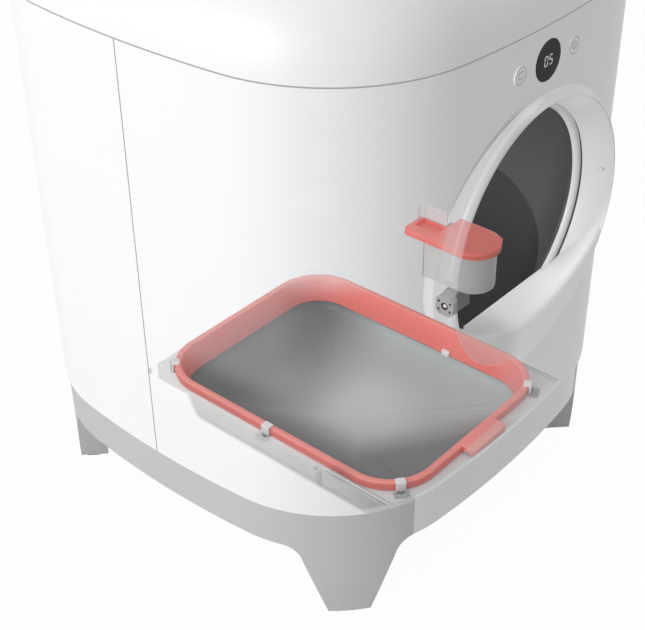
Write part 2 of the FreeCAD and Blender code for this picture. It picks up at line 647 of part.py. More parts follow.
def shoulder(top_radius, top_y, end_radius, end_y):
    """Three points of the arc that leaves the drum's wall without a kink and ends at a point."""
    across = top_radius - end_radius
    along = abs(end_y - top_y)
    radius = (across ** 2 + along ** 2) / (2 * across)
    centre = top_radius - radius
    sign = 1 if end_y > top_y else -1
    last = math.atan2(along, end_radius - centre)
    middle = (centre + radius * math.cos(last / 2), top_y + sign * radius * math.sin(last / 2))
    return ((top_radius, top_y), middle, (end_radius, end_y))


def make_drum():
    radius = D.drum_radius
    inside = radius - D.drum_wall
    edge = D.drum_front + 0.5
    rim_in = D.mouth_radius + 1.7
    rim_out = rim_in + 9
    middle = (rim_in + rim_out) / 2
    keep("drum_rim", turned("rim", [((rim_out, edge), (middle, edge - D.rim_high), (rim_in, edge)),
                                    ((rim_in, edge), (rim_out, edge))]))

    outer = shoulder(radius, D.front_shoulder, rim_out, edge)
    inner = shoulder(inside, D.front_shoulder, rim_out - 3, edge + 3)
    front = [tuple(reversed(outer)), (outer[0], (radius, 0)), ((radius, 0), (inside, 0)),
             ((inside, 0), inner[0]), inner, (inner[-1], (rim_in, edge + 3)),
             ((rim_in, edge + 3), (rim_in, edge)),
             ((rim_in, edge), (rim_out, edge))]
    flat = D.rear_flat_radius
    rear_y = D.drum_rear
    outer = shoulder(radius, D.rear_shoulder, flat, rear_y)
    inner = shoulder(inside, D.rear_shoulder, flat, rear_y - D.drum_wall)
    rear = [((radius, 0), outer[0]), outer, (outer[-1], (0, rear_y)),
            ((0, rear_y), (0, rear_y - D.drum_wall)), ((0, rear_y - D.drum_wall), inner[-1]),
            tuple(reversed(inner)), (inner[0], (inside, 0)),
            ((inside, 0), (radius, 0))]
    port = block("port", "-port_width / 2", "-port_length / 2 + 15", "axis_high + drum_radius / 2",
                 "port_width", "port_length", "drum_radius")
    keep("drum_front_bowl", less("front_bowl", turned("front_bowl_whole", front), port))
    keep("drum_rear_bowl", less("rear_bowl", turned("rear_bowl_whole", rear), port))

    width = 0.75 * radius
    length = radius
    lean = 52
    border = 6
    away = math.sqrt((inside - 0.5) ** 2 - (width / 2) ** 2) - D.screen_thick
    plate = Part.makeBox(width, length, D.screen_thick, V(-width / 2, -length / 2, away))
    step = (width - 2 * border) / D.screen_slots
    for n in range(int(D.screen_slots)):
        x = -width / 2 + border + step * n + (step - D.slot_width) / 2
        plate = plate.cut(Part.makeBox(D.slot_width, length - 20, 20, V(x, 10 - length / 2, away - 8)))
    plate.rotate(V(0, 0, 0), V(0, 1, 0), -lean)
    plate.translate(V(0, 10, D.axis_high))
    keep("litter_screen", solid("screen", plate))

    hub_shaft = rod("hub_shaft", "hub_radius", "-ring_front - 41 - drum_rear", 0, "drum_rear", "axis_high",
                    ALONG_Y)
    hub_disc = rod("hub_disc", "4 * hub_radius", 4, 0, "drum_rear", "axis_high", ALONG_Y)
    keep("rear_hub", joined("hub", hub_shaft, hub_disc))


# Drive

def make_drive():
    apart = D.gear_module * (D.gear_teeth + D.pinion_teeth) / 2
    down = math.radians(D.pinion_angle)
    place = V(-apart * math.sin(down), 0, D.axis_high - apart * math.cos(down))
    toward = math.atan2(place.z - D.axis_high, place.x)
    ring = Part.Face(gear_wire(int(D.gear_teeth), D.gear_place, toward)).extrude(V(0, D.gear_face, 0))
    hole = Part.makeCylinder(D.drum_radius, D.gear_face + 2, V(0, D.gear_place - 1, 0), V(0, 1, 0))
    ring = ring.cut(hole)
    ring.translate(V(0, 0, D.axis_high))
    keep("drum_gear", solid("gear_ring", ring))

    face = D.gear_face + 4
    teeth = int(D.pinion_teeth)
    shaft_radius = 3
    start = D.gear_place - 2
    pinion = Part.Face(gear_wire(teeth, start, toward + math.pi + math.pi / teeth)).extrude(V(0, face, 0))
    pinion = pinion.cut(Part.makeCylinder(shaft_radius, face + 2, V(0, start - 1, 0), V(0, 1, 0)))
    pinion.translate(place)
    keep("drive_pinion", solid("pinion", pinion))

    back = start + face
    along = V(0, 1, 0)
    shaft = Part.makeCylinder(shaft_radius, face + 20, V(place.x, start, place.z), along)
    keep("motor_shaft", solid("shaft", shaft))
    wide = 48
    low = V(place.x - 27, back + 0.5, D.shell_low)
    bracket = Part.makeBox(wide, 4, place.z + 30 - D.shell_low, low)
    foot = Part.makeBox(wide, 24, 4, low)
    gap = Part.makeCylinder(shaft_radius + D.running_gap, 40, V(place.x, back - 4, place.z), along)
    round_drum = Part.makeCylinder(D.drum_radius + 3, 60, V(0, back, D.axis_high), along)
    keep("motor_bracket", solid("bracket", bracket.fuse(foot).cut(gap).cut(round_drum)))
    box_place = back + 4.5
    box_deep = 20
    box = Part.makeBox(42, box_deep, 44, V(place.x - 21, box_place, place.z - 22)).cut(gap).cut(round_drum)
    keep("gearbox", solid("gearbox_body", box))
    motor_long = 34
    motor_place = box_place + box_deep
    motor = Part.makeCylinder(17, motor_long, V(place.x, motor_place, place.z), along)
    boss = Part.makeCylinder(6, 3, V(place.x, motor_place + motor_long, place.z), along)
    keep("drive_motor", solid("motor", motor.fuse(boss)))


def make_rollers():
    apart = D.drum_radius + D.seat_gap + D.roller_radius
    lean = math.radians(D.roller_angle)
    x = apart * math.sin(lean)
    z = D.axis_high - apart * math.cos(lean)
    tracks = {"front": D.front_shoulder + 2, "rear": D.rear_shoulder - 22}
    cradle_y = {"front": D.front_shoulder - 8, "rear": D.rear_shoulder - 6}
    half = x + 11
    for end in ("front", "rear"):
        plate = Part.makeBox(2 * half, D.cradle_thick, z + 18 - D.shell_low,
                             V(-half, cradle_y[end], D.shell_low))
        plate = plate.cut(Part.makeCylinder(D.drum_radius + 4, 40, V(0, cradle_y[end] - 10, D.axis_high),
                                            V(0, 1, 0)))
        for side in (-1, 1):
            plate = plate.cut(Part.makeCylinder(D.axle_radius + D.running_gap, 40,
                                                V(side * x, cradle_y[end] - 10, z), V(0, 1, 0)))
        keep(end + "_cradle", solid(end + "_cradle_plate", plate))
    for name, side in (("left", -1), ("right", 1)):
        start = cradle_y["front"] - 4
        axle = Part.makeCylinder(D.axle_radius, cradle_y["rear"] + D.cradle_thick + 4 - start,
                                 V(side * x, start, z), V(0, 1, 0))
        keep(name + "_axle", solid(name + "_axle_rod", axle))
        wheels = []
        for end in ("front", "rear"):
            wheel = Part.makeCylinder(D.roller_radius, D.roller_face, V(side * x, tracks[end], z), V(0, 1, 0))
            wheel = wheel.cut(Part.makeCylinder(D.axle_radius, 40, V(side * x, tracks[end] - 10, z),
                                                V(0, 1, 0)))
            wheels.append(wheel)
        keep(name + "_rollers", solid(name + "_roller_pair", Part.makeCompound(wheels)))


# Drawer

def make_drawer():
    top = D.flange_high
    low = top - D.flange_thick
    sheet_plate = both("flange_plate", plan_prism("flange_plan", D.skirt_inset, low, top),
                       block("flange_box", "-flange_half", "-shell_depth", 0, "2 * flange_half",
                             "shell_depth + flange_rear", "shell_low"))
    hole = solid("flange_hole", Part.Face(ring_outline(7, 0)).extrude(V(0, 0, D.shell_low)))
    front = both("drawer_front", plan_band("front_band", D.skirt_inset, D.skirt_inset + 3, D.skirt_low + 0.4,
                                           D.shell_low - 0.4),
                 block("front_zone", "-front_half", "-shell_depth", 0, "2 * front_half",
                       "shell_depth / 2 + 60", "shell_low"))
    ribs = [block("rib_%d" % n, x, "bag_ring_front - 19", "flange_high - 0.5", 2, "bag_ring_length - 237", 3)
            for n, x in enumerate(("-flange_half", "flange_half - 2"))]
    keep("drawer_tray", joined("tray", less("flange", sheet_plate, hole), front, *ribs))

    slope = D.bin_draft / D.bin_depth
    floor = low - D.bin_depth
    bin_inset = 4
    outside = tapered(ring_outline(bin_inset + D.bin_draft, floor), ring_outline(bin_inset, low))
    inner_low = floor + D.bin_wall
    inside = tapered(ring_outline(bin_inset + D.bin_wall + slope * (low - inner_low), inner_low),
                     ring_outline(bin_inset + D.bin_wall - slope, low + 1))
    edges = [edge for edge in outside.Edges if edge.BoundBox.ZMax < floor + 0.1]
    keep("drawer_bin", solid("bin", outside.makeFillet(10, edges).cut(inside)))

    ring_low = top + D.seat_gap
    foot = ring_low - 20
    band = 8
    upper = Part.Face(ring_outline(0, ring_low)).extrude(V(0, 0, D.bag_ring_top - ring_low))
    skirt = tapered(ring_outline(14, foot), ring_outline(band, ring_low + 1))
    rake = band / (D.bag_ring_top - foot)
    void = tapered(ring_outline(2 * band + rake, foot - 1), ring_outline(band - rake, D.bag_ring_top + 1))
    tab_half = 29
    tab_thick = 7
    tab_wire = round_rectangle(tab_half, D.bag_ring_front - 15, D.bag_ring_front + 4, 5,
                               D.bag_ring_top - tab_thick)
    tab = Part.Face(tab_wire).extrude(V(0, 0, tab_thick))
    ring = upper.fuse(skirt).fuse(tab).cut(void).removeSplitter()
    keep("bag_ring", solid("coral_ring", ring))

    # Four hooks on the ring's edge, each turned by an angle about a corner's centre or the middle of a side.
    front_y = D.bag_ring_front + D.bag_ring_corner
    rear_y = D.bag_ring_front + D.bag_ring_length - D.bag_ring_corner
    side_y = D.bag_ring_front + D.bag_ring_length / 2 + 1.5
    half_width = D.bag_ring_width / 2
    corner_x = half_width - D.bag_ring_corner
    spots = [(-corner_x, rear_y, 136, D.bag_ring_corner), (-corner_x, front_y, 230, D.bag_ring_corner),
             (corner_x, front_y, 293, D.bag_ring_corner), (0, side_y, 180, half_width)]
    hook_size = V(9, 11, D.bag_ring_top + 2.5 - ring_low)
    clips = []
    for x, y, angle, away in spots:
        hook = Part.makeBox(hook_size.x, hook_size.y, hook_size.z, V(away - 6, -hook_size.y / 2, ring_low))
        hook.rotate(V(0, 0, 0), V(0, 0, 1), angle)
        hook.translate(V(x, y, 0))
        clips.append(hook.cut(ring))
    # Two clamps hold the bag against the ring's skirt from inside.
    clamp_size = V(4.5, 10, 7)
    for side in (-1, 1):
        clamp_x = side * (half_width - 16.75) - clamp_size.x / 2
        clamp = Part.makeBox(clamp_size.x, clamp_size.y, clamp_size.z,
                             V(clamp_x, D.bag_ring_front + 124, foot))
        clips.append(clamp.cut(ring))
    keep("bag_clips", solid("hooks", Part.makeCompound(clips)))

    bag_low = floor + D.bin_wall + 3.5
    low_inset = 21.5
    top_inset = 13.6
    bag_out = tapered(ring_outline(low_inset, bag_low), ring_outline(top_inset, foot))
    bag_in = tapered(ring_outline(low_inset + D.bag_wall, bag_low + D.bag_wall),
                     ring_outline(top_inset + D.bag_wall, foot + 0.01))
    keep("waste_bag", solid("bag", bag_out.cut(bag_in)))

    # Each runner: its foot on the web, a 3 mm ledge under the flange, and its wall.
    start = D.bag_ring_front - 8
    base = D.skirt_low + D.web_thick
    edge = D.flange_half
    profile = ((edge + 1, edge + 18, base, base + 3), (edge - 3, edge + 4, low - 3.3, low - 0.3),
               (edge + 1, edge + 4, base, top + 6))
    # A guide on each wall keeps the flange down behind the hooks.
    guide_start = D.bag_ring_front + 192
    guide_wide = 5
    guide_thick = 2.6
    guides = []
    for name, side in (("left", -1), ("right", 1)):
        pieces = []
        for near, far, from_z, to_z in profile:
            x = near if side > 0 else -far
            pieces.append(Part.makeBox(far - near, D.flange_rear - start, to_z - from_z, V(x, start, from_z)))
        rail = pieces[0].multiFuse(pieces[1:]).removeSplitter()
        keep(name + "_runner", solid(name + "_rail", rail))
        x = edge + 1 - guide_wide if side > 0 else -edge - 1
        guides.append(Part.makeBox(guide_wide, D.flange_rear - guide_start, guide_thick,
                                   V(x, guide_start, top + 6 - guide_thick)))
    keep("flange_guides", solid("guides", Part.makeCompound(guides)))


# Deodorant

def round_ended(half_width, low_y, high_y, corner, high, thick):
    """An upright solid with a half-round end at -Y and two small round corners at +Y."""
    tip = V(0, low_y, high)
    nose = low_y + half_width
    slant = corner * (1 - math.sqrt(0.5))
    edges = [Part.Arc(V(-half_width, nose, high), tip, V(half_width, nose, high)).toShape()]
    edges.append(Part.LineSegment(V(half_width, nose, high), V(half_width, high_y - corner, high)).toShape())
    edges.append(Part.Arc(V(half_width, high_y - corner, high), V(half_width - slant, high_y - slant, high),
                          V(half_width - corner, high_y, high)).toShape())
    edges.append(Part.LineSegment(V(half_width - corner, high_y, high),
                                  V(corner - half_width, high_y, high)).toShape())
    edges.append(Part.Arc(V(corner - half_width, high_y, high), V(slant - half_width, high_y - slant, high),
                          V(-half_width, high_y - corner, high)).toShape())
    edges.append(Part.LineSegment(V(-half_width, high_y - corner, high),
                                  V(-half_width, nose, high)).toShape())
    return Part.Face(Part.Wire(edges)).extrude(V(0, 0, thick))


def make_deodorant():
    place = V(D.bottle_x, D.bottle_y, 0)
    half_width = D.cap_width / 2
    half_length = D.cap_length / 2
    top = D.bottle_high + D.cap_thick
    cap = round_ended(half_width, -half_length, half_length, D.cap_corner, D.bottle_high, D.cap_thick)
    rim = [edge for edge in cap.Edges if edge.BoundBox.ZMin > top - 0.1]
    cap = cap.makeFillet(2.5, rim)
    ear = Part.makeCylinder(4, 4, V(half_width - 5, -half_length + 15, D.bottle_high), V(0, 0, 1))
    # A grip stands at the back of a finger pocket; behind it the cap is cut away.
    grip_x = 2.75
    grip_thick = 2
    grip_from = 17
    grip_to = 49
    pocket = Part.makeBox(18, grip_to - grip_from, 5, V(grip_x - 18, grip_from, top - 5))
    cutaway = Part.makeBox(half_width, half_length, 4 * D.cap_thick,
                           V(grip_x + grip_thick, grip_from, D.bottle_high - 1))
    cap = cap.fuse(ear).cut(pocket).cut(cutaway)
    cap.translate(place)
    keep("bottle_cap", solid("cap", cap))

    inset = D.bottle_inset
    wall = D.bottle_wall
    high = D.bottle_high - D.bottle_low
    rear = half_length - D.bottle_short
    body = round_ended(half_width - inset, inset - half_length, rear, 4, D.bottle_low, high)
    void = round_ended(half_width - inset - wall, inset + wall - half_length, rear - wall, 2.5,
                       D.bottle_low + wall, high)
    body = body.cut(void)
    body.translate(place)
    keep("deodorant_bottle", solid("bottle", body))

    # The grip's plate, its small post at the cap's rear edge, and the strip that joins their tops.
    plate = Part.makeBox(grip_thick, grip_to - grip_from, D.grip_high, V(grip_x, grip_from, top))
    post = Part.makeBox(4, 3, D.grip_high, V(-6, half_length - 4.5, top))
    strip_from = V(-4, half_length - 3, top + D.grip_high - 2)
    strip_to = V(grip_x + 1, grip_to - 1, top + D.grip_high - 2)
    way = strip_to.sub(strip_from)
    strip = Part.makeBox(way.Length, 2, 2)
    strip.translate(V(0, -1, 0))
    strip.rotate(V(0, 0, 0), V(0, 0, 1), math.degrees(math.atan2(way.y, way.x)))
    strip.translate(strip_from)
    grip = plate.multiFuse([post, strip]).removeSplitter()
    grip.translate(place)
    keep("cap_grip", solid("grip", grip))

    # The holder: two ribs under the bottle, and a wall beside it.
    half = half_width - inset
    nose = half + inset - half_length
    deck = D.shell_low
    side_wall = Part.makeBox(3, rear - nose, D.bottle_low + 12 - deck,
                             V(D.bottle_x + half, D.bottle_y + nose, deck))
    rear_rib = Part.makeBox(2 * half, 5, D.bottle_low - deck,
                            V(D.bottle_x - half, D.bottle_y + rear - 9, deck))
    front_rib = Part.makeBox(38, 4, D.bottle_low - deck, V(D.bottle_x - 19, D.bottle_y + nose - 18.5, deck))
    keep("bottle_holder", solid("holder", side_wall.fuse(rear_rib).removeSplitter()))
    keep("bottle_rest", solid("rest", front_rib))

    # The pump hangs through the deck's notch, and the nozzle on its side points into the drawer.
    pump_x = D.bottle_x - 34.75
    middle_y = D.bottle_y - 17.75
    thick = 9
    head_half = 12.5
    head_z = deck - 5
    pump_low = head_z - head_half
    pump = Part.makeBox(30, 16, D.bottle_low - pump_low, V(pump_x, middle_y - 8, pump_low))
    keep("spray_pump", solid("pump", pump))
    head = Part.makeBox(thick, 2 * head_half, 2 * head_half,
                        V(pump_x - thick, middle_y - head_half, pump_low))
    upright = [edge for edge in head.Edges if abs(edge.BoundBox.XLength - thick) < 0.01]
    head = head.makeChamfer(5, upright)
    hole = Part.makeCylinder(4.6, 6, V(pump_x - thick - 1, middle_y, head_z), V(1, 0, 0))
    jet = Part.makeCylinder(2.4, 5, V(pump_x - thick + 1, middle_y, head_z), V(1, 0, 0))
    studs = [Part.makeCylinder(1.4, 1, V(pump_x - thick - 0.8, middle_y + y, head_z + z), V(1, 0, 0))
             for y, z in ((-8, -5), (-8, 6), (8, -6), (8, 5))]
    keep("spray_nozzle", solid("nozzle", head.cut(hole).multiFuse([jet] + studs).removeSplitter()))


make_base()
make_deck()
make_casing()
make_rear_cover()
make_panel()
make_entrance()
make_drum()
make_drive()
make_rollers()
make_drawer()
make_deodorant()
doc.recompute()

failed = [thing.Name for thing in doc.Objects if "Invalid" in thing.State or "Error" in thing.State]
for label, thing in nodes.items():
    if thing.Shape.isNull() or not thing.Shape.isValid():
        failed.append(label)
if failed:
    raise RuntimeError("not built: " + ", ".join(failed))

os.makedirs("parts", exist_ok=True)
for label, thing in nodes.items():
    thing.Shape.exportStep("parts/%s.step" % label)
    print("%-20s %2d solids %10.0f mm3" % (label, len(thing.Shape.Solids), thing.Shape.Volume))
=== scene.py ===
"""Looks of the self-cleaning litter box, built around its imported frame.

Everything is in metres in the frame's own axes: +Z up, the round entrance faces -Y.  As in the
photograph, the casing is drawn see-through over the waste drawer and the deodorant bottle.
"""
import math

import bmesh
import bpy
import numpy as np
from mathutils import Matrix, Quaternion, Vector


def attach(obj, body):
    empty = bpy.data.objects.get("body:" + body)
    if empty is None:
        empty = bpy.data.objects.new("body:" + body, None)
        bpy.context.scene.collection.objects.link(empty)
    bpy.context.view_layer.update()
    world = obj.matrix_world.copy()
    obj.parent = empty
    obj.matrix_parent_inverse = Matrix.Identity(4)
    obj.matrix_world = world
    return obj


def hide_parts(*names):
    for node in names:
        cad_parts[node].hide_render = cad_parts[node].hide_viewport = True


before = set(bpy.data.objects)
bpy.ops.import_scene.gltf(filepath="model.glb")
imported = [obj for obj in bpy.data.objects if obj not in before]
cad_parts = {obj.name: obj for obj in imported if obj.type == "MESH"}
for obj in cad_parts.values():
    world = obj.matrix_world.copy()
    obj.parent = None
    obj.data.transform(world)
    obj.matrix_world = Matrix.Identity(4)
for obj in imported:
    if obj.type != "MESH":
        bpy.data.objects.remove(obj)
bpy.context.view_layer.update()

# The photograph's camera: its place in metres, the way it looks, and its picture in pixels.
CAMERA_PLACE = Vector((-0.90087, -0.78190, 0.98500))
CAMERA_LOOK = Vector((0.63509, 0.52117, -0.57012))
CAMERA_ROLL = math.radians(0.305)
PICTURE = Vector((645, 630))
FOCAL_PIXELS = 1329.83
PICTURE_MIDDLE = Vector((356.83, 318.36))
SENSOR = 36.0

DRUM_AXIS = Vector((0, 0, 0.365))


# Colours, nodes and materials


def paint(code):
    """A colour written as sRGB hex, turned to the linear values that the shaders read."""
    shares = [int(code[k:k + 2], 16) / 255 for k in (1, 3, 5)]
    return [s / 12.92 if s <= 0.04045 else ((s + 0.055) / 1.055) ** 2.4 for s in shares] + [1.0]


def add(tree, kind, inputs=(), out=0, **settings):
    """Add one node with its settings, fill its sockets with values or links, and give back one output."""
    node = tree.nodes.new("ShaderNode" + kind)
    for name, value in settings.items():
        setattr(node, name, value)
    for socket, value in dict(inputs).items():
        if isinstance(value, bpy.types.NodeSocket):
            tree.links.new(value, node.inputs[socket])
        else:
            node.inputs[socket].default_value = value
    return node.outputs[out]


def blend(tree, share, first, second):
    """A colour that goes from the first to the second with a share."""
    return add(tree, "Mix", {"Factor": share, "A": first, "B": second}, out=2, data_type="RGBA")


def new_material(name):
    """An empty material, with its node tree and its output node."""
    material = bpy.data.materials.new(name)
    material.use_nodes = True
    tree = material.node_tree
    tree.nodes.clear()
    return material, tree, tree.nodes.new("ShaderNodeOutputMaterial")


def moulded(name, colour, shade, rough, grain=0.0009, depth=0.00002, patch=0.07, opening=None, tones=(),
            **shader):
    """A moulded plastic: slow patches between two near colours, a fine grain in roughness and in height.

    grain is the texture's pitch and patch the size of the slow patches, both in metres.  opening is a
    function that gives how far the piece is see-through.  tones are functions that give where one more
    colour comes in, each with that colour.
    """
    material, tree, output = new_material(name)
    place = add(tree, "TexCoord", out="Object")
    slow = add(tree, "TexNoise", {"Vector": place, "Scale": 1 / patch, "Detail": 3.0}, out="Fac")
    fine = add(tree, "TexNoise", {"Vector": place, "Scale": 1 / grain, "Detail": 2.0}, out="Fac")
    tint = blend(tree, slow, paint(colour), paint(shade))
    # Most tones paint light or shade onto the piece: shadows, highlights, shaded and lit sides.
    for where, more in tones:
        tint = blend(tree, where(tree, place), tint, paint(more))
    gloss = add(tree, "MapRange", {"Value": fine, "To Min": rough - 0.04, "To Max": rough + 0.06})
    bump = add(tree, "Bump", {"Height": fine, "Strength": 0.35, "Distance": depth})
    surface = add(tree, "BsdfPrincipled", {"Base Color": tint, "Roughness": gloss, "Normal": bump, **shader})
    if opening is not None:
        # An index of 1 lets the ray go straight on, past the pieces that aren't drawn behind an opening.
        straight_on = add(tree, "BsdfRefraction", {"IOR": 1.0})
        surface = add(tree, "MixShader", {0: opening(tree, place), 1: surface, 2: straight_on})
    tree.links.new(surface, output.inputs["Surface"])
    return material


def metal(name, colour, rough, stretch=(1, 30, 1)):
    """A drawn or turned metal: brushing as a noise stretched along one axis, in roughness and in height."""
    material, tree, output = new_material(name)
    place = add(tree, "TexCoord", out="Object")
    lines = add(tree, "Mapping", {"Vector": place, "Scale": Vector(stretch)})
    brushing = add(tree, "TexNoise", {"Vector": lines, "Scale": 180.0, "Detail": 4.0}, out="Fac")
    tint = blend(tree, brushing, paint(colour), paint("#8C8E90"))
    gloss = add(tree, "MapRange", {"Value": brushing, "To Min": rough - 0.08, "To Max": rough + 0.1})
    bump = add(tree, "Bump", {"Height": brushing, "Strength": 0.2, "Distance": 0.00002})
    surface = add(tree, "BsdfPrincipled", {"Base Color": tint, "Metallic": 1.0, "Roughness": gloss,
                                           "Normal": bump})
    tree.links.new(surface, output.inputs["Surface"])
    return material


def frosted(name, colour, rough, open_share, edge_share):
    """A clear, thin-walled moulding: partly see-through when met square on, paler at its edges with a painted
    white highlight.
    """
    material, tree, output = new_material(name)
    place = add(tree, "TexCoord", out="Object")
    cloud = add(tree, "TexNoise", {"Vector": place, "Scale": 60.0, "Detail": 3.0}, out="Fac")
    rim = add(tree, "LayerWeight", {"Blend": 0.35}, out="Facing")
    # A painted highlight: the colour goes to white where the surface is met edge-on.
    tint = blend(tree, rim, paint(colour), paint("#FFFFFF"))
    gloss = add(tree, "MapRange", {"Value": cloud, "To Min": rough - 0.05, "To Max": rough + 0.05})
    surface = add(tree, "BsdfPrincipled", {"Base Color": tint, "Roughness": gloss, "Specular IOR Level": 0.6})
    clearness = add(tree, "MapRange", {"Value": rim, "To Min": open_share, "To Max": edge_share})
    surface = add(tree, "MixShader", {0: clearness, 1: surface, 2: add(tree, "BsdfTransparent")})
    tree.links.new(surface, output.inputs["Surface"])
    return material


# The see-through places of the casing

# A sight line runs from the photograph's camera, a fixed point of the frame, through a point of the casing.
# The casing is open where that line goes on to meet a piece that the photograph shows through it.

MM = 0.001
RING_MIDDLE = Vector((0, -0.0345))
RING_HALF = Vector((0.134, 0.1715))
RING_CORNER = 0.057
RING_FOOT = 0.0973
RING_TOP = 0.1063
TAB_LOW = Vector((-0.029, -0.222, 0.100))
TAB_HIGH = Vector((0.029, -0.203, 0.107))
FLANGE_TOP = 0.097
FLANGE_HALF = 0.140
FLANGE_BACK = 0.144
FLANGE_CORNER = 0.003
FLANGE_SOFT = 0.002
DRAWER_FRONT = -0.262
# The bin is met as slices between two heights, drawn in from the ring by an inset that grows downward.
BIN_LOW = 0.046
BIN_HIGH = 0.094
BIN_INSET = 0.004
BIN_DRAFT = 0.012
BIN_SLICES = 7
BIN_SOFT = 0.003
HOOK_TOP = 0.1095
HOOK_RADIUS = 0.005
# The hooks on the bag ring: a spot in plan, the angle at which the hook lies from it, and how far.
HOOK_SPOTS = [(-0.077, 0.080, 136, 0.058), (-0.077, -0.149, 230, 0.058), (0.077, -0.149, 293, 0.058),
              (0.0, -0.033, 180, 0.135)]
# The deodorant unit: each block by its low and its high corner, each round end by its middle and its radius.
CAP_BLOCKS = [((0.1518, -0.0658, 0.1895), (0.1875, 0.0075, 0.1962)),
              ((0.1595, -0.0658, 0.1895), (0.1875, 0.0152, 0.1962)),
              ((0.1518, -0.0658, 0.1895), (0.2136, -0.0238, 0.1962))]
CAP_RODS = [(0.18275, -0.0658, 0.0308, 0.1895, 0.1962), (0.1595, 0.0075, 0.0077, 0.1895, 0.1962),
            (0.209, -0.082, 0.0035, 0.1895, 0.1935)]
BODY_BLOCK = ((0.1565, -0.0658, 0.141), (0.209, -0.0125, 0.1895))
BODY_ROD = (0.18275, -0.0658, 0.02625, 0.141, 0.1895)
GRIP_BLOCKS = [((0.1855, -0.0238, 0.197), (0.1875, 0.0083, 0.215)),
               ((0.1768, 0.0110, 0.197), (0.1808, 0.0140, 0.215))]
PUMP_BLOCK = ((0.148, -0.0665, 0.1135), (0.178, -0.0505, 0.141))
NOZZLE_BLOCK = (Vector((0.139, -0.071, 0.1135)), Vector((0.148, -0.046, 0.1385)))
NOZZLE_CHAMFER = 0.005

RIGHT, LEFT = (1, 0, 0), (-1, 0, 0)
REARWARD, FORWARD = (0, 1, 0), (0, -1, 0)
UP, DOWN = (0, 0, 1), (0, 0, -1)
AROUND_ENTRANCE = (1, 0, 1)
AROUND_NOZZLE = (0, 1, 1)

# How far the casing, its liner and the drum's wall are clear over what shows through them.
RING_SHARE = 0.93
RING_SHARE_IN_LINER = 0.6
TAB_SHARE = 0.62
DRAWER_SHARE_HIGH, DRAWER_SHARE_LOW = 0.5, 0.64
BOTTLE_SHARE = 0.88
BOTTLE_SHARE_ON_TRUMPET = 0.62
BOTTLE_SHARE_IN_DRUM = 0.70
NOZZLE_SHARE = 0.93


def sight_line(tree, place):
    """The way from the camera's place to a point of the surface."""
    return add(tree, "VectorMath", {0: place, 1: CAMERA_PLACE}, operation="SUBTRACT")


def math_node(tree, operation, *values):
    """One number worked out from one to three numbers."""
    return add(tree, "Math", dict(enumerate(values)), operation=operation)


def coordinate(tree, place, axis):
    """One coordinate of a place or of a way."""
    return add(tree, "SeparateXYZ", {0: place}, out=axis)


def length(tree, vector):
    """How long a vector is."""
    return add(tree, "VectorMath", {0: vector}, out="Value", operation="LENGTH")


def product(tree, first, second):
    """The scalar product of two vectors."""
    return add(tree, "VectorMath", {0: first, 1: second}, out="Value", operation="DOT_PRODUCT")


def soft_step(tree, value, start, end):
    """From 0 to 1, softly, as a value goes from a start to an end."""
    return add(tree, "MapRange", {"Value": value, "From Min": start, "From Max": end},
               interpolation_type="SMOOTHSTEP")


def outline(tree, way, height, middle, half, corner, soft):
    """1 where the sight line meets a round-cornered rectangle at a height, 0 outside, with a soft edge.

    The line is followed to that height; the distance is the length of what the spot's offsets from the middle
    exceed the half sizes less the corner radius by, less that radius.
    """
    drop = coordinate(tree, way, "Z")
    reach = math_node(tree, "DIVIDE", height - CAMERA_PLACE.z, drop)
    origin = CAMERA_PLACE - Vector((middle.x, middle.y, height))
    spot = add(tree, "VectorMath", {0: way, 1: reach, 2: origin}, operation="MULTIPLY_ADD")
    spot = add(tree, "VectorMath", {0: spot}, operation="ABSOLUTE")
    core = Vector((half.x - corner, half.y - corner, 1))
    over = add(tree, "VectorMath", {0: spot, 1: core}, operation="SUBTRACT")
    over = add(tree, "VectorMath", {0: over, 1: Vector((0, 0, 0))}, operation="MAXIMUM")
    return soft_step(tree, length(tree, over), corner + soft, max(corner - soft, 0.0))


def slabs_in_line(tree, way, slabs):
    """1 where the sight line crosses a solid that is bounded by pairs of parallel planes, 0 elsewhere.

    A slab is a normal and the two values that the products of its points with the normal lie between.
    The line camera + t * way is inside a slab between two values of t.  It crosses the solid if the last
    of the ways in comes before the first of the ways out.
    """
    enter, leave = -1e6, 1e6
    for normal, low, high in slabs:
        speed = product(tree, way, Vector(normal))
        start = CAMERA_PLACE.dot(Vector(normal))
        first = math_node(tree, "DIVIDE", low - start, speed)
        last = math_node(tree, "DIVIDE", high - start, speed)
        enter = math_node(tree, "MAXIMUM", enter, math_node(tree, "MINIMUM", first, last))
        leave = math_node(tree, "MINIMUM", leave, math_node(tree, "MAXIMUM", first, last))
    return math_node(tree, "GREATER_THAN", leave, enter)


def block_in_line(tree, way, low, high):
    """1 where the sight line crosses a block between two corners."""
    return slabs_in_line(tree, way, [(axis, low[k], high[k]) for k, axis in enumerate((RIGHT, REARWARD, UP))])


def rod_in_line(tree, way, x, y, radius, low, high):
    """1 where the sight line crosses an upright rod between two heights.

    Between those heights the line is a stretch of t; the point of it that is nearest to the rod's axis in
    plan, with t held to that stretch, has to be within the radius.
    """
    drop = coordinate(tree, way, "Z")
    first = math_node(tree, "DIVIDE", high - CAMERA_PLACE.z, drop)
    last = math_node(tree, "DIVIDE", low - CAMERA_PLACE.z, drop)
    flat = add(tree, "VectorMath", {0: way, 1: Vector((1, 1, 0))}, operation="MULTIPLY")
    axis = Vector((x - CAMERA_PLACE.x, y - CAMERA_PLACE.y, 0))
    nearest = math_node(tree, "DIVIDE", product(tree, flat, axis), product(tree, flat, flat))
    held = math_node(tree, "MINIMUM", math_node(tree, "MAXIMUM", nearest, first), last)
    gap = add(tree, "VectorMath", {0: flat, 1: held, 2: -axis}, operation="MULTIPLY_ADD")
    return math_node(tree, "LESS_THAN", length(tree, gap), radius)


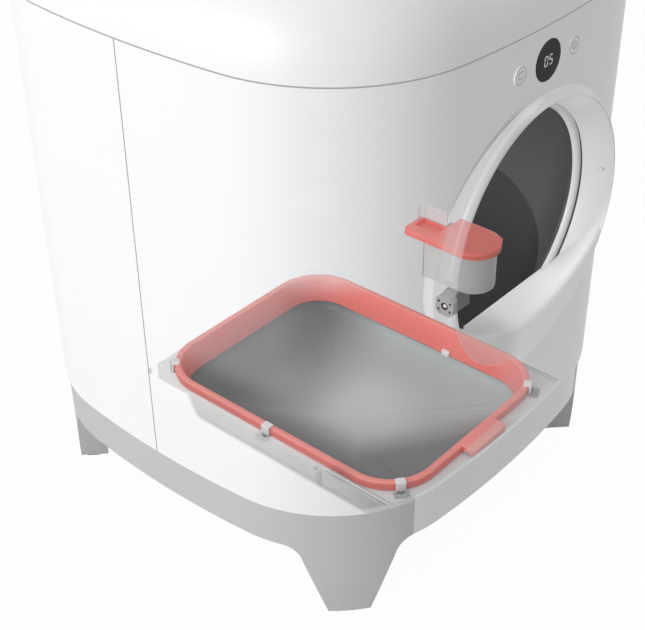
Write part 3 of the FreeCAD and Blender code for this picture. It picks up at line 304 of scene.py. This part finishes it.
def largest(tree, shares):
    """The largest of several shares."""
    whole = shares[0]
    for more in shares[1:]:
        whole = math_node(tree, "MAXIMUM", whole, more)
    return whole


def ring_in_line(tree, way):
    """The bag ring with its hooks: two crossed blocks, and a rod in each corner and at each hook."""
    middle, half, corner = RING_MIDDLE, RING_HALF, RING_CORNER
    found = []
    for inset_x, inset_y in ((0, corner), (corner, 0)):
        low = (middle.x - half.x + inset_x, middle.y - half.y + inset_y, RING_FOOT)
        high = (middle.x + half.x - inset_x, middle.y + half.y - inset_y, RING_TOP)
        found.append(block_in_line(tree, way, low, high))
    for side_x, side_y in ((1, 1), (-1, 1), (-1, -1), (1, -1)):
        spot = (middle.x + side_x * (half.x - corner), middle.y + side_y * (half.y - corner))
        found.append(rod_in_line(tree, way, *spot, corner, RING_FOOT, RING_TOP))
    for x, y, angle, away in HOOK_SPOTS:
        turn = math.radians(angle)
        spot = (x + away * math.cos(turn), y + away * math.sin(turn))
        found.append(rod_in_line(tree, way, *spot, HOOK_RADIUS, RING_FOOT, HOOK_TOP))
    return largest(tree, found)


def drawer_in_line(tree, way):
    """The drawer's flange, and the tapered bin under it in slices."""
    middle = Vector((0, (DRAWER_FRONT + FLANGE_BACK) / 2))
    half = Vector((FLANGE_HALF, (FLANGE_BACK - DRAWER_FRONT) / 2))
    found = [outline(tree, way, FLANGE_TOP, middle, half, FLANGE_CORNER, FLANGE_SOFT)]
    for k in range(BIN_SLICES):
        share = k / (BIN_SLICES - 1)
        inset = BIN_INSET + BIN_DRAFT * share
        height = BIN_HIGH + (BIN_LOW - BIN_HIGH) * share
        shrunk = RING_HALF - Vector((inset, inset))
        found.append(outline(tree, way, height, RING_MIDDLE, shrunk, RING_CORNER - inset, BIN_SOFT))
    return largest(tree, found)


def bottle_in_line(tree, way):
    """The deodorant bottle, its cap with the clear grip, and the pump and the nozzle under it."""
    blocks = CAP_BLOCKS + GRIP_BLOCKS + [BODY_BLOCK, PUMP_BLOCK]
    found = [block_in_line(tree, way, *block) for block in blocks]
    found += [rod_in_line(tree, way, *rod) for rod in CAP_RODS + [BODY_ROD]]
    low, high = NOZZLE_BLOCK
    slabs = [(RIGHT, low.x, high.x), (REARWARD, low.y, high.y), (UP, low.z, high.z)]
    middle = (low + high) / 2
    reach = high.y - middle.y + high.z - middle.z - NOZZLE_CHAMFER
    for lean in (1, -1):
        centre = middle.y + lean * middle.z
        slabs.append(((0, 1, lean), centre - reach, centre + reach))
    found.append(slabs_in_line(tree, way, slabs))
    return largest(tree, found)


def above(tree, place, axis, least):
    """1 where a coordinate is above a limit, 0 below."""
    return math_node(tree, "GREATER_THAN", coordinate(tree, place, axis), least)


def share_along(tree, place, way, start, end):
    """From 0 to 1, softly, as the product of a place with a direction goes from one value to another."""
    return soft_step(tree, product(tree, place, Vector(way)), start, end)


def share_round(tree, place, middle, axes, start, end):
    """From 0 to 1, softly, as the distance from a spot along some axes only goes between two values."""
    off = add(tree, "VectorMath", {0: place, 1: Vector(middle)}, operation="SUBTRACT")
    off = add(tree, "VectorMath", {0: off, 1: Vector(axes)}, operation="MULTIPLY")
    return soft_step(tree, length(tree, off), start, end)


def line_at(tree, place, axis, middle, half):
    """1 in a thin band about a plane across an axis, 0 elsewhere."""
    off = math_node(tree, "SUBTRACT", coordinate(tree, place, axis), middle)
    return soft_step(tree, math_node(tree, "ABSOLUTE", off), 1.4 * half, 0.6 * half)


def both(tree, *shares):
    """The product of several shares."""
    whole = shares[0]
    for more in shares[1:]:
        whole = math_node(tree, "MULTIPLY", whole, more)
    return whole


def without(tree, share, part):
    """What stays when a share of something takes a part of it away."""
    return math_node(tree, "MULTIPLY_ADD", share, -part, 1.0)


def drawer_shares(tree, place, way, ring_share):
    """How far the casing is open over the bag ring, over its tab, and over the drawer.

    The drawer is clear at its front and fades out at its rear.
    """
    tab = math_node(tree, "MULTIPLY", block_in_line(tree, way, TAB_LOW, TAB_HIGH), TAB_SHARE)
    rear = share_along(tree, place, UP, 0.33, 0.40)
    front = add(tree, "MapRange", {"Value": coordinate(tree, place, "Z"), "From Min": 0.24, "From Max": 0.16,
                                   "To Min": DRAWER_SHARE_HIGH, "To Max": DRAWER_SHARE_LOW})
    drawer = both(tree, drawer_in_line(tree, way), without(tree, rear, 0.9), front)
    return [both(tree, ring_in_line(tree, way), ring_share), tab, drawer]


def shell_opening(tree, place):
    """How far the front casing lets the drawer and the bottle show.

    The ring fades a little along its left rear side, at its rear corner and at its right corner.  The
    bottle is fainter on the trumpet round the entrance, and its nozzle is clear.
    """
    way = sight_line(tree, place)
    left_rear = both(tree, share_along(tree, place, REARWARD, -0.19, -0.14),
                     share_along(tree, place, UP, 0.25, 0.29))
    corner = share_along(tree, place, UP, 0.37, 0.40)
    right = share_along(tree, place, RIGHT, -0.06, -0.01)
    ring = both(tree, without(tree, left_rear, 0.14), without(tree, corner, 0.35),
                without(tree, right, 0.2), RING_SHARE)
    trumpet = share_round(tree, place, DRUM_AXIS, AROUND_ENTRANCE, 0.1405, 0.1375)
    share = add(tree, "MapRange", {"Value": trumpet, "To Min": BOTTLE_SHARE,
                                   "To Max": BOTTLE_SHARE_ON_TRUMPET})
    share = largest(tree, [share, nozzle_share(tree, place)])
    bottle = both(tree, bottle_in_line(tree, way), share, above(tree, place, "Z", 0.24))
    return largest(tree, drawer_shares(tree, place, way, ring) + [bottle])


def nozzle_share(tree, place):
    """How far the casing is open in front of the nozzle, below the bottle."""
    return math_node(tree, "MULTIPLY", share_along(tree, place, DOWN, -0.384, -0.374), NOZZLE_SHARE)


def liner_opening(tree, place):
    """How far the entrance liner lets the drawer and the bottle show."""
    way = sight_line(tree, place)
    share = largest(tree, [nozzle_share(tree, place), BOTTLE_SHARE_ON_TRUMPET])
    bottle = both(tree, bottle_in_line(tree, way), share)
    return largest(tree, drawer_shares(tree, place, way, RING_SHARE_IN_LINER) + [bottle])


def drum_opening(tree, place):
    """How far the drum's right wall lets the bottle show in the entrance."""
    bottle = bottle_in_line(tree, sight_line(tree, place))
    return both(tree, bottle, above(tree, place, "X", 0.02), BOTTLE_SHARE_IN_DRUM)


COVER_SEAM = 0.5623
HALVES_SEAM = 0.004
SEAM_HALF = 0.0007


def drum_painted_light(tree, place):
    """Painted light on the drum's wall: it is paler outside a round about the spot y -61 mm, z 171 mm."""
    return share_round(tree, place, (0, -0.0615, 0.1712), (0, 1, 1), 0.126, 0.129)


def seam_tone(tree, place):
    """The shadow in the seams: under the top cover, and down the sides between the casing's two halves."""
    below_cover = share_along(tree, place, UP, 0.5630, 0.5622)
    side = both(tree, line_at(tree, place, "Y", HALVES_SEAM, SEAM_HALF), below_cover)
    return largest(tree, [line_at(tree, place, "Z", COVER_SEAM, SEAM_HALF), side])


def throat_tone(tree, place):
    """The shaded sides of the entrance: the crest on its left, and the throat's wall on its right."""
    right = both(tree, share_along(tree, place, RIGHT, 0.05, 0.09),
                 share_along(tree, place, (0, 1, 0.25), -0.180, -0.165))
    return largest(tree, [share_along(tree, place, LEFT, 0.01, 0.05), right])


def trumpet_painted_shade(tree, place):
    """Painted shade on the left side of the casing's trumpet round the entrance, and of the drum's rim inside
    it.
    """
    return both(tree, share_round(tree, place, DRUM_AXIS, AROUND_ENTRANCE, 0.1412, 0.1388),
                share_along(tree, place, LEFT, 0.02, 0.06))


def lip_tone(tree, place):
    """The lowest part of that trumpet, which the light from the floor brightens."""
    return both(tree, share_round(tree, place, DRUM_AXIS, AROUND_ENTRANCE, 0.152, 0.142),
                share_along(tree, place, DOWN, -0.33, -0.29))


def bag_painted_light(tree, place):
    """Painted light on the bag's brightest part, a little in front of its middle."""
    return share_round(tree, place, (0.010, -0.045, 0), (1, 1, 0), 0.090, 0.010)


def bag_painted_shade(tree, place):
    """Painted shade on the darker parts of the bag: its rear end, its left side and its front left corner."""
    rear = share_along(tree, place, (-0.15, 1, 0), -0.03, 0.10)
    left = share_along(tree, place, LEFT, 0.02, 0.085)
    front = share_along(tree, place, (-0.6, -0.8, 0), 0.065, 0.125)
    return largest(tree, [rear, both(tree, left, 0.9), both(tree, front, 0.75)])


def flange_rib_painted_shade(tree, place):
    """Painted shade on the flange: on its two low ribs, and in a fine groove beside each."""
    flat = share_along(tree, place, UP, 0.0965, 0.0968)
    grooves = largest(tree, [line_at(tree, place, "X", side * 0.1345, 0.0006) for side in (-1, 1)])
    rib = line_at(tree, place, "Z", 0.0981, 0.0008)
    behind_front = share_along(tree, place, REARWARD, -0.2225, -0.2215)
    ahead_of_rear = share_along(tree, place, FORWARD, 0.117, 0.119)
    return both(tree, largest(tree, [both(tree, grooves, flat), rib]), behind_front, ahead_of_rear)


def ring_top_painted_highlight(tree, place):
    """A painted highlight in a paler coral along the bag ring's upper edge."""
    return line_at(tree, place, "Z", 0.1069, 0.0007)


NOZZLE_MIDDLE = (0.139, -0.0585, 0.126)
NOZZLE_STUDS = ((-0.008, -0.005), (-0.008, 0.006), (0.008, -0.006), (0.008, 0.005))


def nozzle_tone(tree, place):
    """The shadow in the nozzle's round hole and at its four studs."""
    outer = share_round(tree, place, NOZZLE_MIDDLE, AROUND_NOZZLE, 0.0051, 0.0047)
    inner = share_round(tree, place, NOZZLE_MIDDLE, AROUND_NOZZLE, 0.0022, 0.0026)
    face_x, middle_y, middle_z = NOZZLE_MIDDLE
    studs = [share_round(tree, place, (face_x, middle_y + y, middle_z + z), (0.3, 1, 1), 0.0017, 0.0013)
             for y, z in NOZZLE_STUDS]
    return largest(tree, [both(tree, outer, inner)] + studs)


def jet_tone(tree, place):
    """The pale jet in the middle of the nozzle."""
    return share_round(tree, place, NOZZLE_MIDDLE, AROUND_NOZZLE, 0.0026, 0.0022)


# The finishes

FINISHES = {
    # ABS with a satin tool finish: near white, a soft wide highlight.
    "white_abs": moulded("white_abs", "#F0F0F1", "#EDEDEE", 0.38, tones=[(seam_tone, "#AFAFB1")]),
    # The front casing: painted shade on its trumpet's left side, painted light on the trumpet's lowest part,
    # and shadow in the seams.
    "white_abs_windowed": moulded("white_abs_windowed", "#F0F0F1", "#EDEDEE", 0.38, opening=shell_opening,
                                  tones=[(trumpet_painted_shade, "#D4D4D5"), (lip_tone, "#FEFEFE"),
                                         (seam_tone, "#AFAFB1")]),
    # The entrance liner: a paler copy of the casing's white, as painted light on the entrance.
    "white_liner_abs": moulded("white_liner_abs", "#FAFAFA", "#F7F7F7", 0.36, opening=liner_opening,
                               tones=[(throat_tone, "#DDDDDE")]),
    # The drum's rim, with painted shade on its left side.
    "white_rim_abs": moulded("white_rim_abs", "#DFDFDF", "#DADADA", 0.36, tones=[(trumpet_painted_shade, "#BCBCBD")]),
    # ABS from a spark-eroded tool: matt grey, grain just visible up close.
    "grey_abs": moulded("grey_abs", "#BEBEBF", "#B9B9BA", 0.55, grain=0.0012, depth=0.00004),
    "deck_abs": moulded("deck_abs", "#BEBEBF", "#B9B9BA", 0.55, grain=0.0012, depth=0.00004),
    "foot_rubber": moulded("foot_rubber", "#3A3A3B", "#333334", 0.8, grain=0.0015, depth=0.00006),
    # Polypropylene, matt dark grey, lightly orange-peeled; the drum's wall has painted light on it in a paler
    # grey.
    "dark_pp": moulded("dark_pp", "#303031", "#2C2C2D", 0.55, grain=0.0016, depth=0.00004,
                       opening=drum_opening, tones=[(drum_painted_light, "#474749")]),
    "screen_pp": moulded("screen_pp", "#555557", "#4E4E50", 0.5, grain=0.0016, depth=0.00004),
    "black_acrylic": moulded("black_acrylic", "#111112", "#0D0D0E", 0.3, depth=0.000004, patch=0.02,
                             **{"Specular IOR Level": 0.1}),
    "key_abs": moulded("key_abs", "#EFEFF0", "#EBEBEC", 0.45),
    "key_print": moulded("key_print", "#A9A9AB", "#A2A2A4", 0.5),
    "display_print": moulded("display_print", "#FBFBFB", "#F6F6F6", 0.4),
    "sensor_window": moulded("sensor_window", "#D6D6D8", "#D0D0D2", 0.25),
    "circuit_board": moulded("circuit_board", "#1E5A38", "#184C2F", 0.35, patch=0.004),
    "nylon": moulded("nylon", "#D9D6CB", "#D2CEC2", 0.45),
    "filled_nylon": moulded("filled_nylon", "#6B6D70", "#636568", 0.5, grain=0.0012, depth=0.00004),
    "pump_nylon": moulded("pump_nylon", "#B2B4B6", "#A9ABAD", 0.5, grain=0.0012, depth=0.00004),
    "inlet_nylon": moulded("inlet_nylon", "#1A1A1B", "#151516", 0.4),
    "zinc_steel": metal("zinc_steel", "#B4B6B8", 0.32),
    "motor_steel": metal("motor_steel", "#9EA0A3", 0.4, stretch=(1, 1, 30)),
    # The drawer's tray, with painted shade along its flange's ribs and grooves.
    "tray_abs": moulded("tray_abs", "#E3E5E5", "#DEE0E0", 0.3, tones=[(flange_rib_painted_shade, "#8E9091")]),
    "bin_pp": moulded("bin_pp", "#D3D5D5", "#CED0D0", 0.35),
    # ABS in coral red: glossier than the casing, even in colour but for a painted highlight along the bag
    # ring's upper edge.
    "coral_abs": moulded("coral_abs", "#FA8178", "#F87C73", 0.3, depth=0.00001,
                         tones=[(ring_top_painted_highlight, "#FF9A92")]),
    "clip_pom": moulded("clip_pom", "#F7F6F4", "#F3F2F0", 0.35),
    "clip_seat": moulded("clip_seat", "#8E8F92", "#87888B", 0.45),
    # The bag film, with painted light a little in front of its middle and painted shade at its rear, left
    # side and front left corner.
    "bag_film": moulded("bag_film", "#BCC4C5", "#B6BDBE", 0.42, grain=0.003, depth=0.0002, patch=0.05,
                        tones=[(bag_painted_light, "#D3DADB"), (bag_painted_shade, "#666B6C")]),
    "frosted_petg": frosted("frosted_petg", "#DADCDD", 0.3, 0.2, 0.05),
    "clear_petg": frosted("clear_petg", "#D5D8D9", 0.15, 0.7, 0.1),
    "acetal": moulded("acetal", "#BBBDBF", "#B3B5B7", 0.4, grain=0.0012, depth=0.00003,
                      tones=[(nozzle_tone, "#1E1F21"), (jet_tone, "#FBFBFB")]),
}

NODE_FINISHES = {
    "white_abs": ("rear_shell", "top_cover", "rear_cover"),
    "white_abs_windowed": ("front_shell",),
    "white_liner_abs": ("entrance_liner",),
    "white_rim_abs": ("drum_rim",),
    "grey_abs": ("base_pedestal", "base_rear"),
    "deck_abs": ("chassis_deck",),
    "foot_rubber": ("foot_pads",),
    "dark_pp": ("drum_front_bowl", "drum_rear_bowl"),
    "screen_pp": ("litter_screen",),
    "black_acrylic": ("display_disc",),
    "key_abs": ("left_button", "right_button"),
    "sensor_window": ("entry_sensor", "waste_level_sensor"),
    "circuit_board": ("display_board", "main_board", "button_switches"),
    "nylon": ("drum_gear", "drive_pinion", "left_rollers", "right_rollers"),
    "filled_nylon": ("front_cradle", "rear_cradle", "bearing_plate", "left_runner", "right_runner",
                     "flange_guides", "bottle_holder", "bottle_rest", "gearbox", "rear_hub"),
    "pump_nylon": ("spray_pump",),
    "zinc_steel": ("left_axle", "right_axle", "motor_shaft", "rear_bearing", "deck_screws", "motor_bracket",
                   "load_cells"),
    "motor_steel": ("drive_motor",),
    "inlet_nylon": ("power_inlet",),
    "tray_abs": ("drawer_tray",),
    "bin_pp": ("drawer_bin",),
    "coral_abs": ("bag_ring", "bottle_cap"),
    "clip_pom": ("bag_clips",),
    "bag_film": ("waste_bag",),
    "frosted_petg": ("deodorant_bottle",),
    "clear_petg": ("cap_grip",),
    "acetal": ("spray_nozzle",),
}

# Finishes of the nodes that aren't drawn behind an opening of the casing, as in the photograph.  They, and
# the plain white casing, also cast no shadow on the drawer.
UNSEEN_BEHIND = ("white_abs_windowed", "white_liner_abs", "white_rim_abs", "deck_abs", "dark_pp", "screen_pp",
                 "circuit_board", "nylon", "filled_nylon", "zinc_steel", "motor_steel", "sensor_window")


def finish_frame_nodes():
    """Give every node of the frame its finish, and let light in through the casing and what it hides."""
    for finish, names in NODE_FINISHES.items():
        for name in names:
            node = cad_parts[name]
            node.data.materials.clear()
            node.data.materials.append(FINISHES[finish])
            if finish in UNSEEN_BEHIND:
                node.visible_transmission = False
            if finish in UNSEEN_BEHIND + ("white_abs",):
                node.visible_shadow = False
                node.visible_diffuse = False


# Modelled pieces


def millimetres(points):
    """Points in millimetres as an array in metres."""
    return np.asarray(points, float) * MM


def round_outline(half_x, half_y, corner, inset, middle, steps):
    """Points round a rectangle with round corners, moved inward by an inset, counter-clockwise from +X."""
    radius = max(corner - inset, 0.2)
    angles = np.linspace(0, np.pi / 2, steps)
    points = []
    for quarter, (side_x, side_y) in enumerate(((1, 1), (-1, 1), (-1, -1), (1, -1))):
        turned = angles + quarter * np.pi / 2
        x = middle[0] + side_x * (half_x - inset - radius) + radius * np.cos(turned)
        y = middle[1] + side_y * (half_y - inset - radius) + radius * np.sin(turned)
        points.append(np.stack([x, y], 1))
    return np.concatenate(points)


def raised(flat, height):
    """Points in plan lifted to a height, one value or one for each point."""
    return np.column_stack([flat, np.broadcast_to(np.asarray(height, float), (len(flat),))])


def lofted(rings, closed=False, capped=True):
    """The corners and faces of a skin through closed rings of points, all of one length.

    Face k, j joins points j and j + 1 of ring k to the same points of ring k + 1.  closed joins the last
    ring to the first one, and capped closes the first and the last ring with one flat face each.
    """
    grid = np.asarray(rings, float)
    count, around = grid.shape[:2]
    index = np.arange(count * around).reshape(count, around)
    below, over = (index, np.roll(index, -1, 0)) if closed else (index[:-1], index[1:])
    faces = np.stack([below, np.roll(below, -1, 1), np.roll(over, -1, 1), over], -1).reshape(-1, 4).tolist()
    if capped and not closed:
        faces += [index[0, ::-1].tolist(), index[-1].tolist()]
    return grid.reshape(-1, 3), faces


def placed(skin, turn, move):
    """A skin turned about Z by an angle in degrees and then moved."""
    points, faces = skin
    cos, sin = math.cos(math.radians(turn)), math.sin(math.radians(turn))
    points = points @ np.array([[cos, -sin, 0], [sin, cos, 0], [0, 0, 1]]).T
    return points + np.asarray(move, float), faces


def piece(name, skins, finish, body, smooth=40, stands_for=()):
    """One mesh object, in millimetres, from several skins; it rides on a body and has a finish."""
    points, faces, start = [], [], 0
    for corners, sides in skins:
        points.append(corners)
        faces += [[start + k for k in side] for side in sides]
        start += len(corners)
    mesh = bpy.data.meshes.new(name)
    mesh.from_pydata(millimetres(np.concatenate(points)).tolist(), [], faces)
    work = bmesh.new()
    work.from_mesh(mesh)
    bmesh.ops.recalc_face_normals(work, faces=work.faces)
    work.to_mesh(mesh)
    work.free()
    mesh.polygons.foreach_set("use_smooth", np.ones(len(mesh.polygons), bool))
    mesh.set_sharp_from_angle(angle=math.radians(smooth))
    mesh.materials.append(FINISHES[finish])
    mesh.validate()
    made = bpy.data.objects.new(name, mesh)
    bpy.context.scene.collection.objects.link(made)
    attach(made, body)
    if stands_for:
        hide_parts(*stands_for)


SLAB_CORNER_POINTS = 6


def slab(half_x, half_y, corner, low, high, edge, middle):
    """A round-cornered plate between two heights, its upper and lower edges rounded over by a radius."""
    bend = np.linspace(0, np.pi / 2, 4)
    profile = [(edge * (1 - math.sin(a)), low + edge * (1 - math.cos(a))) for a in bend]
    profile += [(edge * (1 - math.cos(a)), high - edge * (1 - math.sin(a))) for a in bend]
    return lofted([raised(round_outline(half_x, half_y, corner, inset, middle, SLAB_CORNER_POINTS), z)
                   for inset, z in profile])


DISPLAY_FRONT = -248.2
KEY_FRONT = -247.8
KEY_X = 41.0
PANEL_Z = 530.0
KEY_RADIUS = 8.4
RING_PLAN = (135.0, 172.5, 58.0)
RING_PLACE = (0.0, -34.5)


def ring_line(inset, steps=24):
    """The bag ring's outline in plan, moved inward by an inset, in millimetres."""
    return round_outline(*RING_PLAN, inset, RING_PLACE, steps)


def make_bag_ring():
    """The coral ring: an upright band, rounded on top, over a skirt that slopes in, and a pull tab."""
    profile = [(0.4, 97.3), (0.0, 97.8), (0.0, 105.0), (0.4, 106.2), (1.4, 107.0), (6.6, 107.0), (7.7, 106.3),
               (8.4, 105.2), (15.6, 78.2), (15.5, 77.5), (14.8, 77.3), (14.1, 77.8), (8.4, 96.6), (7.6, 97.3)]
    band = lofted([raised(ring_line(inset), z) for inset, z in profile], closed=True)
    tab = slab(29, 9.5, 4, 100, 106.9, 0.9, middle=(0, -212.5))
    piece("bag_ring_moulding", [band, tab], "coral_abs", "bag_frame", stands_for=("bag_ring",))


def make_bag():
    """The bag film: it hangs from the ring's skirt, rounds over into a sagging floor, and has soft folds.

    The film follows the ring's outline, drawn in towards the middle, while its depth falls as a quarter of
    a super-ellipse.  Folds are a sum of waves round the film that grow from the ring and fade on the floor.
    """
    rows = 40
    t = np.linspace(0, 1, rows)
    angle = t * np.pi / 2
    shrink = 1 - np.cos(angle) ** 0.9
    top, low = 77.2, 47.5
    depth = (np.sin(angle)) ** 0.8
    outline_points = ring_line(15.2, 40)
    middle = np.array(RING_PLACE)
    around = np.linspace(0, 2 * np.pi, len(outline_points), endpoint=False)
    rings = []
    for k in range(rows):
        flat = middle + (outline_points - middle) * (1 - 0.97 * shrink[k])
        gather = math.sin(math.pi * min(1.0, t[k] * 1.25)) ** 1.5
        wave = (0.45 * np.sin(7 * around + 1.3) + 0.25 * np.sin(13 * around + 4.0 + 2.2 * t[k])
                + 0.15 * np.sin(23 * around + 0.7 - 3.0 * t[k]))
        sag = 2.0 * np.sin(3 * around + 0.4) * t[k] ** 2 * (1 - t[k])
        rings.append(raised(flat, top + (low - top) * depth[k] + gather * wave + sag))
    under = [ring + np.array([0, 0, -0.4]) for ring in rings[::-1]]
    film = lofted(rings[::-1] + under[::-1])
    piece("bag_film", [film], "bag_film", "bag_frame", smooth=180, stands_for=("waste_bag",))


# Hooks at or behind this Y, in metres, have no seat on the flange.
REAR_HOOK_Y = 0.05


def make_clips():
    """Four white hooks over the ring's edge, two clamps inside it, and three hooks' seats on the flange."""
    hooks, seats = [], []
    for x, y, angle, away in HOOK_SPOTS:
        spot = (x / MM, y / MM, 0)
        reach = away / MM
        for part in (slab(1.4, 5.2, 1.0, 97.4, 109.3, 0.5, middle=(reach + 1.7, 0)),
                     slab(4.4, 5.2, 1.2, 107.1, 109.4, 0.6, middle=(reach - 1.4, 0)),
                     slab(0.9, 3.6, 0.6, 104.6, 107.6, 0.3, middle=(reach - 5.0, 0)),
                     slab(1.0, 2.0, 0.6, 109.0, 110.2, 0.4, middle=(reach + 0.6, 0))):
            hooks.append(placed(part, angle, spot))
        if y < REAR_HOOK_Y:
            seats.append(placed(slab(4.6, 8.0, 1.4, 97.02, 98.0, 0.4, middle=(reach + 6.6, 0)), angle, spot))
            seats.append(placed(slab(0.8, 8.0, 0.5, 97.4, 99.6, 0.3, middle=(reach + 4.2, 0)), angle, spot))
    for side in (-1, 1):
        hooks.append(slab(2.2, 5.0, 1.2, 77.4, 84.2, 0.6, middle=(side * 118.25, -78.0)))
    piece("bag_hooks", hooks, "clip_pom", "bag_frame", stands_for=("bag_clips",))
    piece("hook_seats", seats, "clip_seat", "drawer")


def bar_skin(start, end, wide, y, thick):
    """A flat bar on an upright plane, from one point (x, z) to another, with pointed ends."""
    start, end = np.array(start, float), np.array(end, float)
    along = (end - start) / np.linalg.norm(end - start)
    side = np.array([-along[1], along[0]]) * wide / 2
    tip = along * wide / 2
    flat = np.array([start - tip, start + side, end + side, end + tip, end - side, start - side])
    return lofted([np.column_stack([flat[:, 0], np.full(len(flat), level), flat[:, 1]])
                   for level in (y, y - thick)])


DIGIT_STROKES = {"top": ((-1, 2), (1, 2)), "high_left": ((-1, 0), (-1, 2)), "high_right": ((1, 0), (1, 2)),
                 "middle": ((-1, 0), (1, 0)), "low_left": ((-1, -2), (-1, 0)), "low_right": ((1, -2), (1, 0)),
                 "bottom": ((-1, -2), (1, -2))}
DIGITS = {0: ("top", "high_left", "high_right", "low_left", "low_right", "bottom"),
          5: ("top", "high_left", "middle", "low_right", "bottom")}
STROKE_PITCH = 2.1
STROKE_GAP = 0.62
STROKE_WIDE = 1.05
STROKE_THICK = 0.1


def make_display():
    """Two plain seven-stroke numerals on the display disc."""
    strokes = []
    for number, middle_x in ((0, -3.6), (5, 3.6)):
        middle = np.array([middle_x, PANEL_Z])
        for name in DIGITS[number]:
            start, end = (middle + np.array(point) * STROKE_PITCH for point in DIGIT_STROKES[name])
            gap = (end - start) / np.linalg.norm(end - start) * STROKE_GAP
            strokes.append(bar_skin(start + gap, end - gap, STROKE_WIDE, DISPLAY_FRONT, STROKE_THICK))
    piece("display_numerals", strokes, "display_print", "housing")


def ring_skin(x, z, radius, wide, y, thick, first=0.0, last=360.0, steps=40):
    """A flat ring, or a part of one between two angles, on an upright plane."""
    angles = np.radians(np.linspace(first, last, steps))
    closed = abs(last - first - 360) < 1e-6
    if closed:
        angles = angles[:-1]
    rings = []
    inner, outer = radius - wide / 2, radius + wide / 2
    for r, level in ((inner, y), (inner, y - thick), (outer, y - thick), (outer, y)):
        rings.append(np.column_stack([x + r * np.cos(angles), np.full(len(angles), level),
                                      z + r * np.sin(angles)]))
    grid = np.asarray(rings).transpose(1, 0, 2)
    return lofted(grid, closed=closed, capped=not closed)


MARK_RADIUS = 3.2
MARK_WIDE = 0.7
MARK_THICK = 0.12


def make_key_marks():
    """A raised rim round each key, and a plain mark on it: an arc with a bar."""
    for name, side in (("left", -1), ("right", 1)):
        x = side * KEY_X
        marks = [ring_skin(x, PANEL_Z, KEY_RADIUS - 0.7, 0.5, KEY_FRONT, MARK_THICK)]
        if side < 0:
            marks.append(ring_skin(x, PANEL_Z, MARK_RADIUS, MARK_WIDE, KEY_FRONT, MARK_THICK, 60, 330))
            bar = ((x + 1.9, PANEL_Z + 2.6), (x + 3.4, PANEL_Z + 4.0))
        else:
            marks.append(ring_skin(x, PANEL_Z, MARK_RADIUS, MARK_WIDE, KEY_FRONT, MARK_THICK, 125, 415))
            bar = ((x, PANEL_Z + 0.6), (x, PANEL_Z + 3.8))
        marks.append(bar_skin(*bar, MARK_WIDE, KEY_FRONT, MARK_THICK))
        piece("key_mark_" + name, marks, "key_print", name + "_key")


# Stage, light and camera


def flat_sheet(name, points):
    """One flat four-sided sheet."""
    mesh = bpy.data.meshes.new(name)
    mesh.from_pydata([tuple(p) for p in points], [], [(0, 1, 2, 3)])
    sheet = bpy.data.objects.new(name, mesh)
    bpy.context.scene.collection.objects.link(sheet)
    return sheet


def seen_share(tree):
    """1 for the rays that show a surface: from the camera, off a gloss or past an opening, 0 for others."""
    paths = ("Is Camera Ray", "Is Glossy Ray", "Is Transmission Ray")
    return largest(tree, [add(tree, "LightPath", out=name) for name in paths])


FLOOR_HALF = 12.0
FLOOR_WHITE = 0.97


def make_floor():
    """A wide pale floor that the camera sees as near white, with the object's soft shadow on it."""
    corners = ((-1, -1), (1, -1), (1, 1), (-1, 1))
    floor = flat_sheet("floor", [(x * FLOOR_HALF, y * FLOOR_HALF, 0) for x, y in corners])
    material, tree, output = new_material("pale_floor")
    share = math_node(tree, "MULTIPLY", seen_share(tree), FLOOR_WHITE)
    lit = add(tree, "BsdfDiffuse", {"Color": paint("#E4E4E4")})
    white = add(tree, "Emission", {"Color": paint("#FFFFFF"), "Strength": 1.0})
    tree.links.new(add(tree, "MixShader", {0: share, 1: lit, 2: white}), output.inputs["Surface"])
    floor.data.materials.append(material)


AMBIENT = 0.44
LAMP_AIM = Vector((0, 0, 0.3))


def make_world():
    """Even light from all round, and plain white where the camera looks past the object."""
    world = bpy.data.worlds.new("studio")
    world.use_nodes = True
    bpy.context.scene.world = world
    tree = world.node_tree
    tree.nodes.clear()
    strength = add(tree, "MapRange", {"Value": seen_share(tree), "To Min": AMBIENT, "To Max": 1.0})
    light = add(tree, "Background", {"Color": paint("#FFFFFF"), "Strength": strength})
    output = tree.nodes.new("ShaderNodeOutputWorld")
    tree.links.new(light, output.inputs["Surface"])


def make_lamp(name, place, size, share):
    """One large soft lamp: its power gives a square-on white surface that share of full white."""
    lamp = bpy.data.lights.new(name, "AREA")
    lamp.shape = "DISK"
    lamp.size = size
    way = place - LAMP_AIM
    lamp.energy = share * math.pi ** 2 * way.length_squared
    light = bpy.data.objects.new(name, lamp)
    bpy.context.scene.collection.objects.link(light)
    light.location = place
    light.rotation_mode = "QUATERNION"
    light.rotation_quaternion = way.to_track_quat("Z", "Y")


def make_camera():
    """The photograph's camera, its shift set by where the picture's centre of projection lies."""
    data = bpy.data.cameras.new("camera")
    data.sensor_width = SENSOR
    data.lens = FOCAL_PIXELS / PICTURE.x * SENSOR
    data.shift_x = (PICTURE.x / 2 - PICTURE_MIDDLE.x) / PICTURE.x
    data.shift_y = (PICTURE_MIDDLE.y - PICTURE.y / 2) / PICTURE.x
    data.clip_start = 0.01
    data.clip_end = 100
    camera = bpy.data.objects.new("camera", data)
    bpy.context.scene.collection.objects.link(camera)
    camera.location = CAMERA_PLACE
    camera.rotation_mode = "QUATERNION"
    camera.rotation_quaternion = CAMERA_LOOK.to_track_quat("-Z", "Y") @ Quaternion((0, 0, 1), CAMERA_ROLL)
    bpy.context.scene.camera = camera


bpy.context.scene.view_settings.view_transform = "Standard"
make_camera()
make_world()
make_lamp("key", Vector((-3.1, 0.35, 1.1)), 2.2, 0.57)
make_lamp("top", Vector((0.3, -0.3, 3.4)), 3.0, 0.22)
make_floor()
finish_frame_nodes()
make_bag_ring()
make_bag()
make_clips()
make_display()
make_key_marks()
